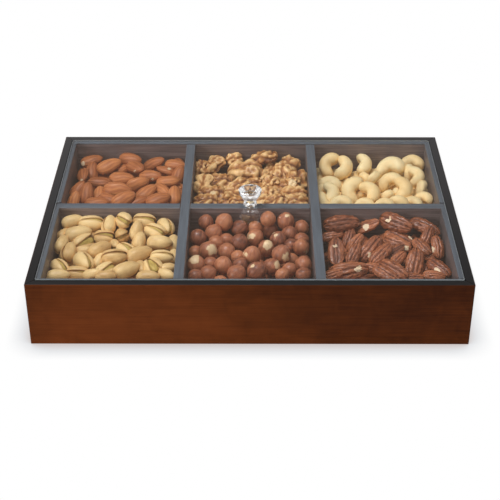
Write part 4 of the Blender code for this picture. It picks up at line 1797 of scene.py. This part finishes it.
PISTACHIOS = (
    (62.9, 234.7, 30, 5, 0, 0.8, -5),
    (93.0, 234.7, 80, 10, 0, 0.8, -5),
    (115.4, 246.2, -60, 20, 0, 0.85, -3),
    (125.3, 249.8, -30, 10, 90, 0.9, -3),
    (99.5, 262.7, 50, 10, 0, 0.85, -4),
    (173.1, 242.9, 85, 10, 0, 0.95, -3),
    (173.5, 256.7, 85, 10, 0, 0.8, -4),
    (84.4, 251.9, 0, 5, 0, 0.8, -5),
    (141.7, 269.7, -70, 10, 0, 0.95, -2),
    (93.0, 276.6, 0, 5, 0, 0.85, -2),
    (72.8, 221.8, 14, 6, 200, 1.0, 0, 0, 0, 0, 0),
    (90.9, 223.9, 2, 4, 106, 1.12, 1, 0, 0, 0, 2),
    (109.0, 224.6, 86, 15, 45, 0.98, 0, 0, 0, 0, 2),
    (124.0, 220.7, -52, 20, 138, 1.05, 1, 0, 0, 0, 2),
    (144.4, 221.4, -8, 5, 116, 1.04, 0, 0, 0, 0, 2),
    (166.4, 227.2, -50, 10, 66, 1.1, 0, 0, 0, 0, 1),
    (78.2, 234.3, 10, 5, 30, 1.2, 1, 0, 0, 0, 0),
    (84.0, 243.9, 22, 5, 132, 1.04, 0, 0, 0, 0, 4),
    (104.4, 237.0, -4, 5, 116, 0.9, 1, 0, 0, 0, 3),
    (122.1, 235.8, -78, 28, 200, 1.0, 2, 0, 0, 0, 1),
    (136.4, 230.8, 60, 45, 200, 0.95, 0, 0, 0, 0, 0),
    (154.6, 231.3, -24, 6, 112, 1.08, 1, 0, 0, 0, 2),
    (61.6, 244.2, 58, 15, 200, 0.95, -1, 0, 0, 0, 0),
    (68.3, 251.9, 80, 15, 52, 1.0, 1, 0, 0, 0, 2),
    (138.9, 242.5, 60, 40, 200, 1.0, 0, 0, 0, 0, 0),
    (159.8, 243.1, -3, 4, 200, 1.12, 1, 0, 0, 0, 0),
    (99.8, 250.2, 26, 5, 200, 1.16, 1, 0, 0, 0, 0),
    (114.3, 257.1, 6, 5, 104, 1.12, 0, 0, 0, 0, 1),
    (139.4, 254.9, 16, 5, 200, 1.2, 1, 0, 0, 0, 0),
    (161.9, 257.1, -2, 6, 104, 1.0, 0, 0, 0, 0, 1),
    (84.6, 262.3, -42, 8, 70, 1.2, 1, 0, 0, 0, 1),
    (59.9, 267.2, -36, 8, 85, 0.98, 0, 0, 0, 0, 2),
    (78.0, 273.9, -4, 5, 122, 1.04, 0, 0, 0, 0, 1),
    (105.8, 271.3, 28, 6, 122, 1.0, 1, 0, 0, 0, 3),
    (126.5, 270.9, 18, 6, 200, 1.24, 2, 0, 0, 0, 0),
    (152.3, 267.2, -48, 8, 106, 1.02, 1, 0, 0, 0, 4),
    (167.3, 268.9, 10, 6, 200, 0.8, 0, 0, 0, 0, 0),
    (166.7, 274.9, -20, 5, 200, 0.8, 0, 0, 0, 0, 0),
    (57.9, 276.5, 2, 5, 200, 1.0, 0, 0, 0, 0, 0),
    (106.0, 277.1, 0, 5, 200, 0.9, 0, 0, 0, 0, 0),
    (148.2, 277.8, 0, 5, 200, 1.0, -1, 0, 0, 0, 0),
)
HAZELNUTS = (
    (255.6, 228.1, 0, 0, 0, 0.95, -4),
    (226.3, 239.9, 0, 0, 0, 0.9, -5),
    (216.2, 242.9, 0, 0, 0, 0.95, -5),
    (291.3, 245.3, 0, 0, 0, 0.9, -4),
    (301.7, 239.4, 0, 0, 0, 0.9, -4),
    (195.5, 252.5, 0, 0, 0, 0.9, -4),
    (210.8, 264.4, 0, 0, 0, 0.95, -4),
    (238.4, 257.0, 0, 0, 0, 0.9, -5),
    (291.8, 260.1, 0, 0, 0, 0.9, -4),
    (270.2, 230.0, 20, 60, 0, 1.02, -1.5),
    (240.1, 265.3, 10, 50, 0, 1.0, -2),
    (206.1, 222.2, 30, 70, 0, 0.98, 0),
    (223.9, 222.0, 10, 60, 0, 1.12, 1),
    (239.8, 228.4, 5, 30, 0, 1.12, 0),
    (268.2, 218.6, 80, 50, 0, 0.98, 0),
    (285.9, 221.0, 60, 70, 0, 1.08, 1, 1.7, 5.3, 1.2),
    (301.2, 227.4, 70, 40, 0, 0.98, 0),
    (198.1, 237.4, 85, 20, 0, 1.1, 0),
    (213.9, 232.7, 20, 50, 0, 1.1, 0),
    (289.3, 233.8, 40, 60, 0, 1.02, 0),
    (255.3, 237.2, 15, 50, 0, 1.06, 1, -4.1, 0.7, 2.6),
    (278.6, 239.6, 40, 70, 0, 1.06, 1, -2.8, 5.0, 2.2),
    (239.4, 242.5, 30, 50, 0, 1.1, 1),
    (208.1, 250.5, 20, 60, 0, 1.16, 1, 4.1, 1.2, 5.0),
    (226.5, 251.7, 70, 40, 0, 1.12, 0),
    (266.3, 248.2, 10, 70, 0, 1.04, 1, 1.2, 3.8, 4.0),
    (251.7, 255.1, 0, 80, 0, 1.14, 2, -6.9, 0.4, 1.4),
    (281.3, 254.2, 20, 70, 0, 1.16, 2, 4.5, -3.3, 3.3),
    (301.1, 247.0, 80, 60, 0, 0.98, 0, 4.8, -4.5, 1.2),
    (196.2, 264.2, 80, 50, 0, 1.1, 1, -1.5, 5.5, 4.6),
    (223.1, 265.3, 30, 70, 0, 1.1, 1),
    (271.5, 266.6, 30, 40, 0, 1.06, 0, 6.9, 1.9, 3.4),
    (256.9, 271.1, 10, 40, 0, 1.2, 2, -4.3, 5.3, 1.7),
    (289.6, 269.6, 0, 40, 0, 0.9, 0),
    (303.4, 264.4, 70, 60, 0, 1.02, 0),
    (208.1, 273.9, 0, 40, 0, 1.06, 0),
    (236.7, 273.9, 10, 40, 0, 1.16, 0),
    (282.5, 274.9, 0, 40, 0, 0.85, 0),
    (303.6, 274.9, 0, 30, 0, 0.95, 0),
    (195.5, 276.1, 0, 40, 0, 0.9, -1),
)
PECANS = (
    (332.4, 235.1, 10, 5, 0, 0.8, -4),
    (349.0, 237.5, 70, 10, 0, 0.8, -4),
    (427.2, 236.5, 60, 10, 0, 0.85, -4),
    (394.0, 252.6, 30, 5, 180, 0.8, -4),
    (422.0, 246.1, -52, 8, 0, 0.85, -2),
    (434.2, 253.9, 20, 5, 0, 0.7, -5),
    (375.7, 267.9, -10, 5, 0, 0.8, -4),
    (341.2, 222.9, 4, 4, 8, 1.2, 0),
    (366.9, 226.7, 0, 30, 180, 0.92, 0, -1.0, -0.2, 3.0),
    (395.3, 222.5, -30, 10, 25, 1.2, 1, -7.9, 3.9, 3.3),
    (425.0, 226.0, -33, 6, -12, 1.14, 0),
    (355.4, 242.6, 48, 10, 0, 0.8, 0),
    (353.8, 253.9, 62, 10, 0, 0.86, 0),
    (335.9, 252.6, 88, 5, 180, 1.05, 1, -0.9, 7.4, 2.4),
    (370.4, 248.2, 44, 8, 10, 1.12, 1, -1.0, -7.4, 3.0),
    (397.1, 243.4, -28, 6, 15, 0.98, -1, 7.9, -5.1, 2.4),
    (399.3, 238.6, -31, 8, 0, 1.15, 1.5, 11.8, 1.7, 2.3),
    (380.5, 253.9, 40, 10, -10, 1.0, 2),
    (438.1, 246.5, 94, 8, 20, 0.86, 0, -6.3, -3.1, 3.0),
    (397.7, 259.2, 38, 8, 0, 0.75, -1),
    (415.0, 263.1, 76, 8, 0, 1.16, 2, -3.1, -12.2, 1.7),
    (439.6, 267.2, -42, 8, 0, 0.95, 0, -2.3, -3.3, 2.6),
    (348.6, 270.7, 6, 5, 10, 1.28, 1, 9.8, 1.6, 3.3),
    (393.1, 269.2, -36, 8, 8, 1.12, 1),
    (385.7, 273.6, -34, 6, 0, 0.95, 0),
    (328.5, 274.9, 10, 5, 0, 0.8, -3),
    (434.2, 274.9, -10, 5, 0, 0.7, -2),
    (412.4, 278.4, 0, 5, 0, 0.8, -3),
)

HEAPS = (
    Heap("almonds", Almond(), "back_left_compartment", (ALMOND_SKIN,), ALMONDS, seed=11),
    Heap("walnut_halves", Walnut(), "back_middle_compartment", (WALNUT_FLESH,), WALNUTS, seed=12,
         crest=46.0 * MM, second=0.78, apart=1.04),
    Heap("cashews", Cashew(), "back_right_compartment", (CASHEW_FLESH,), CASHEWS, seed=13),
    Heap("pistachios", Pistachio(), "front_left_compartment", (PISTACHIO_SHELL, PISTACHIO_KERNEL), PISTACHIOS,
         seed=14, forms=5),
    Heap("hazelnuts", Hazelnut(), "front_middle_compartment", (HAZEL_SKIN,), HAZELNUTS, seed=15),
    Heap("pecan_halves", Pecan(), "front_right_compartment", (PECAN_FLESH,), PECANS, seed=16,
         second=0.74),
)


def main() -> None:
    """Builds the scene."""
    studio = Studio()
    studio.build()
    PaperFloor().build()
    Tray().dress()
    lid = Lid()
    lid.dress()
    studio.unmirrored(frame["nodes"][lid.panel])
    for heap in HEAPS:
        heap.build(studio)


if __name__ == "__main__":
    main()
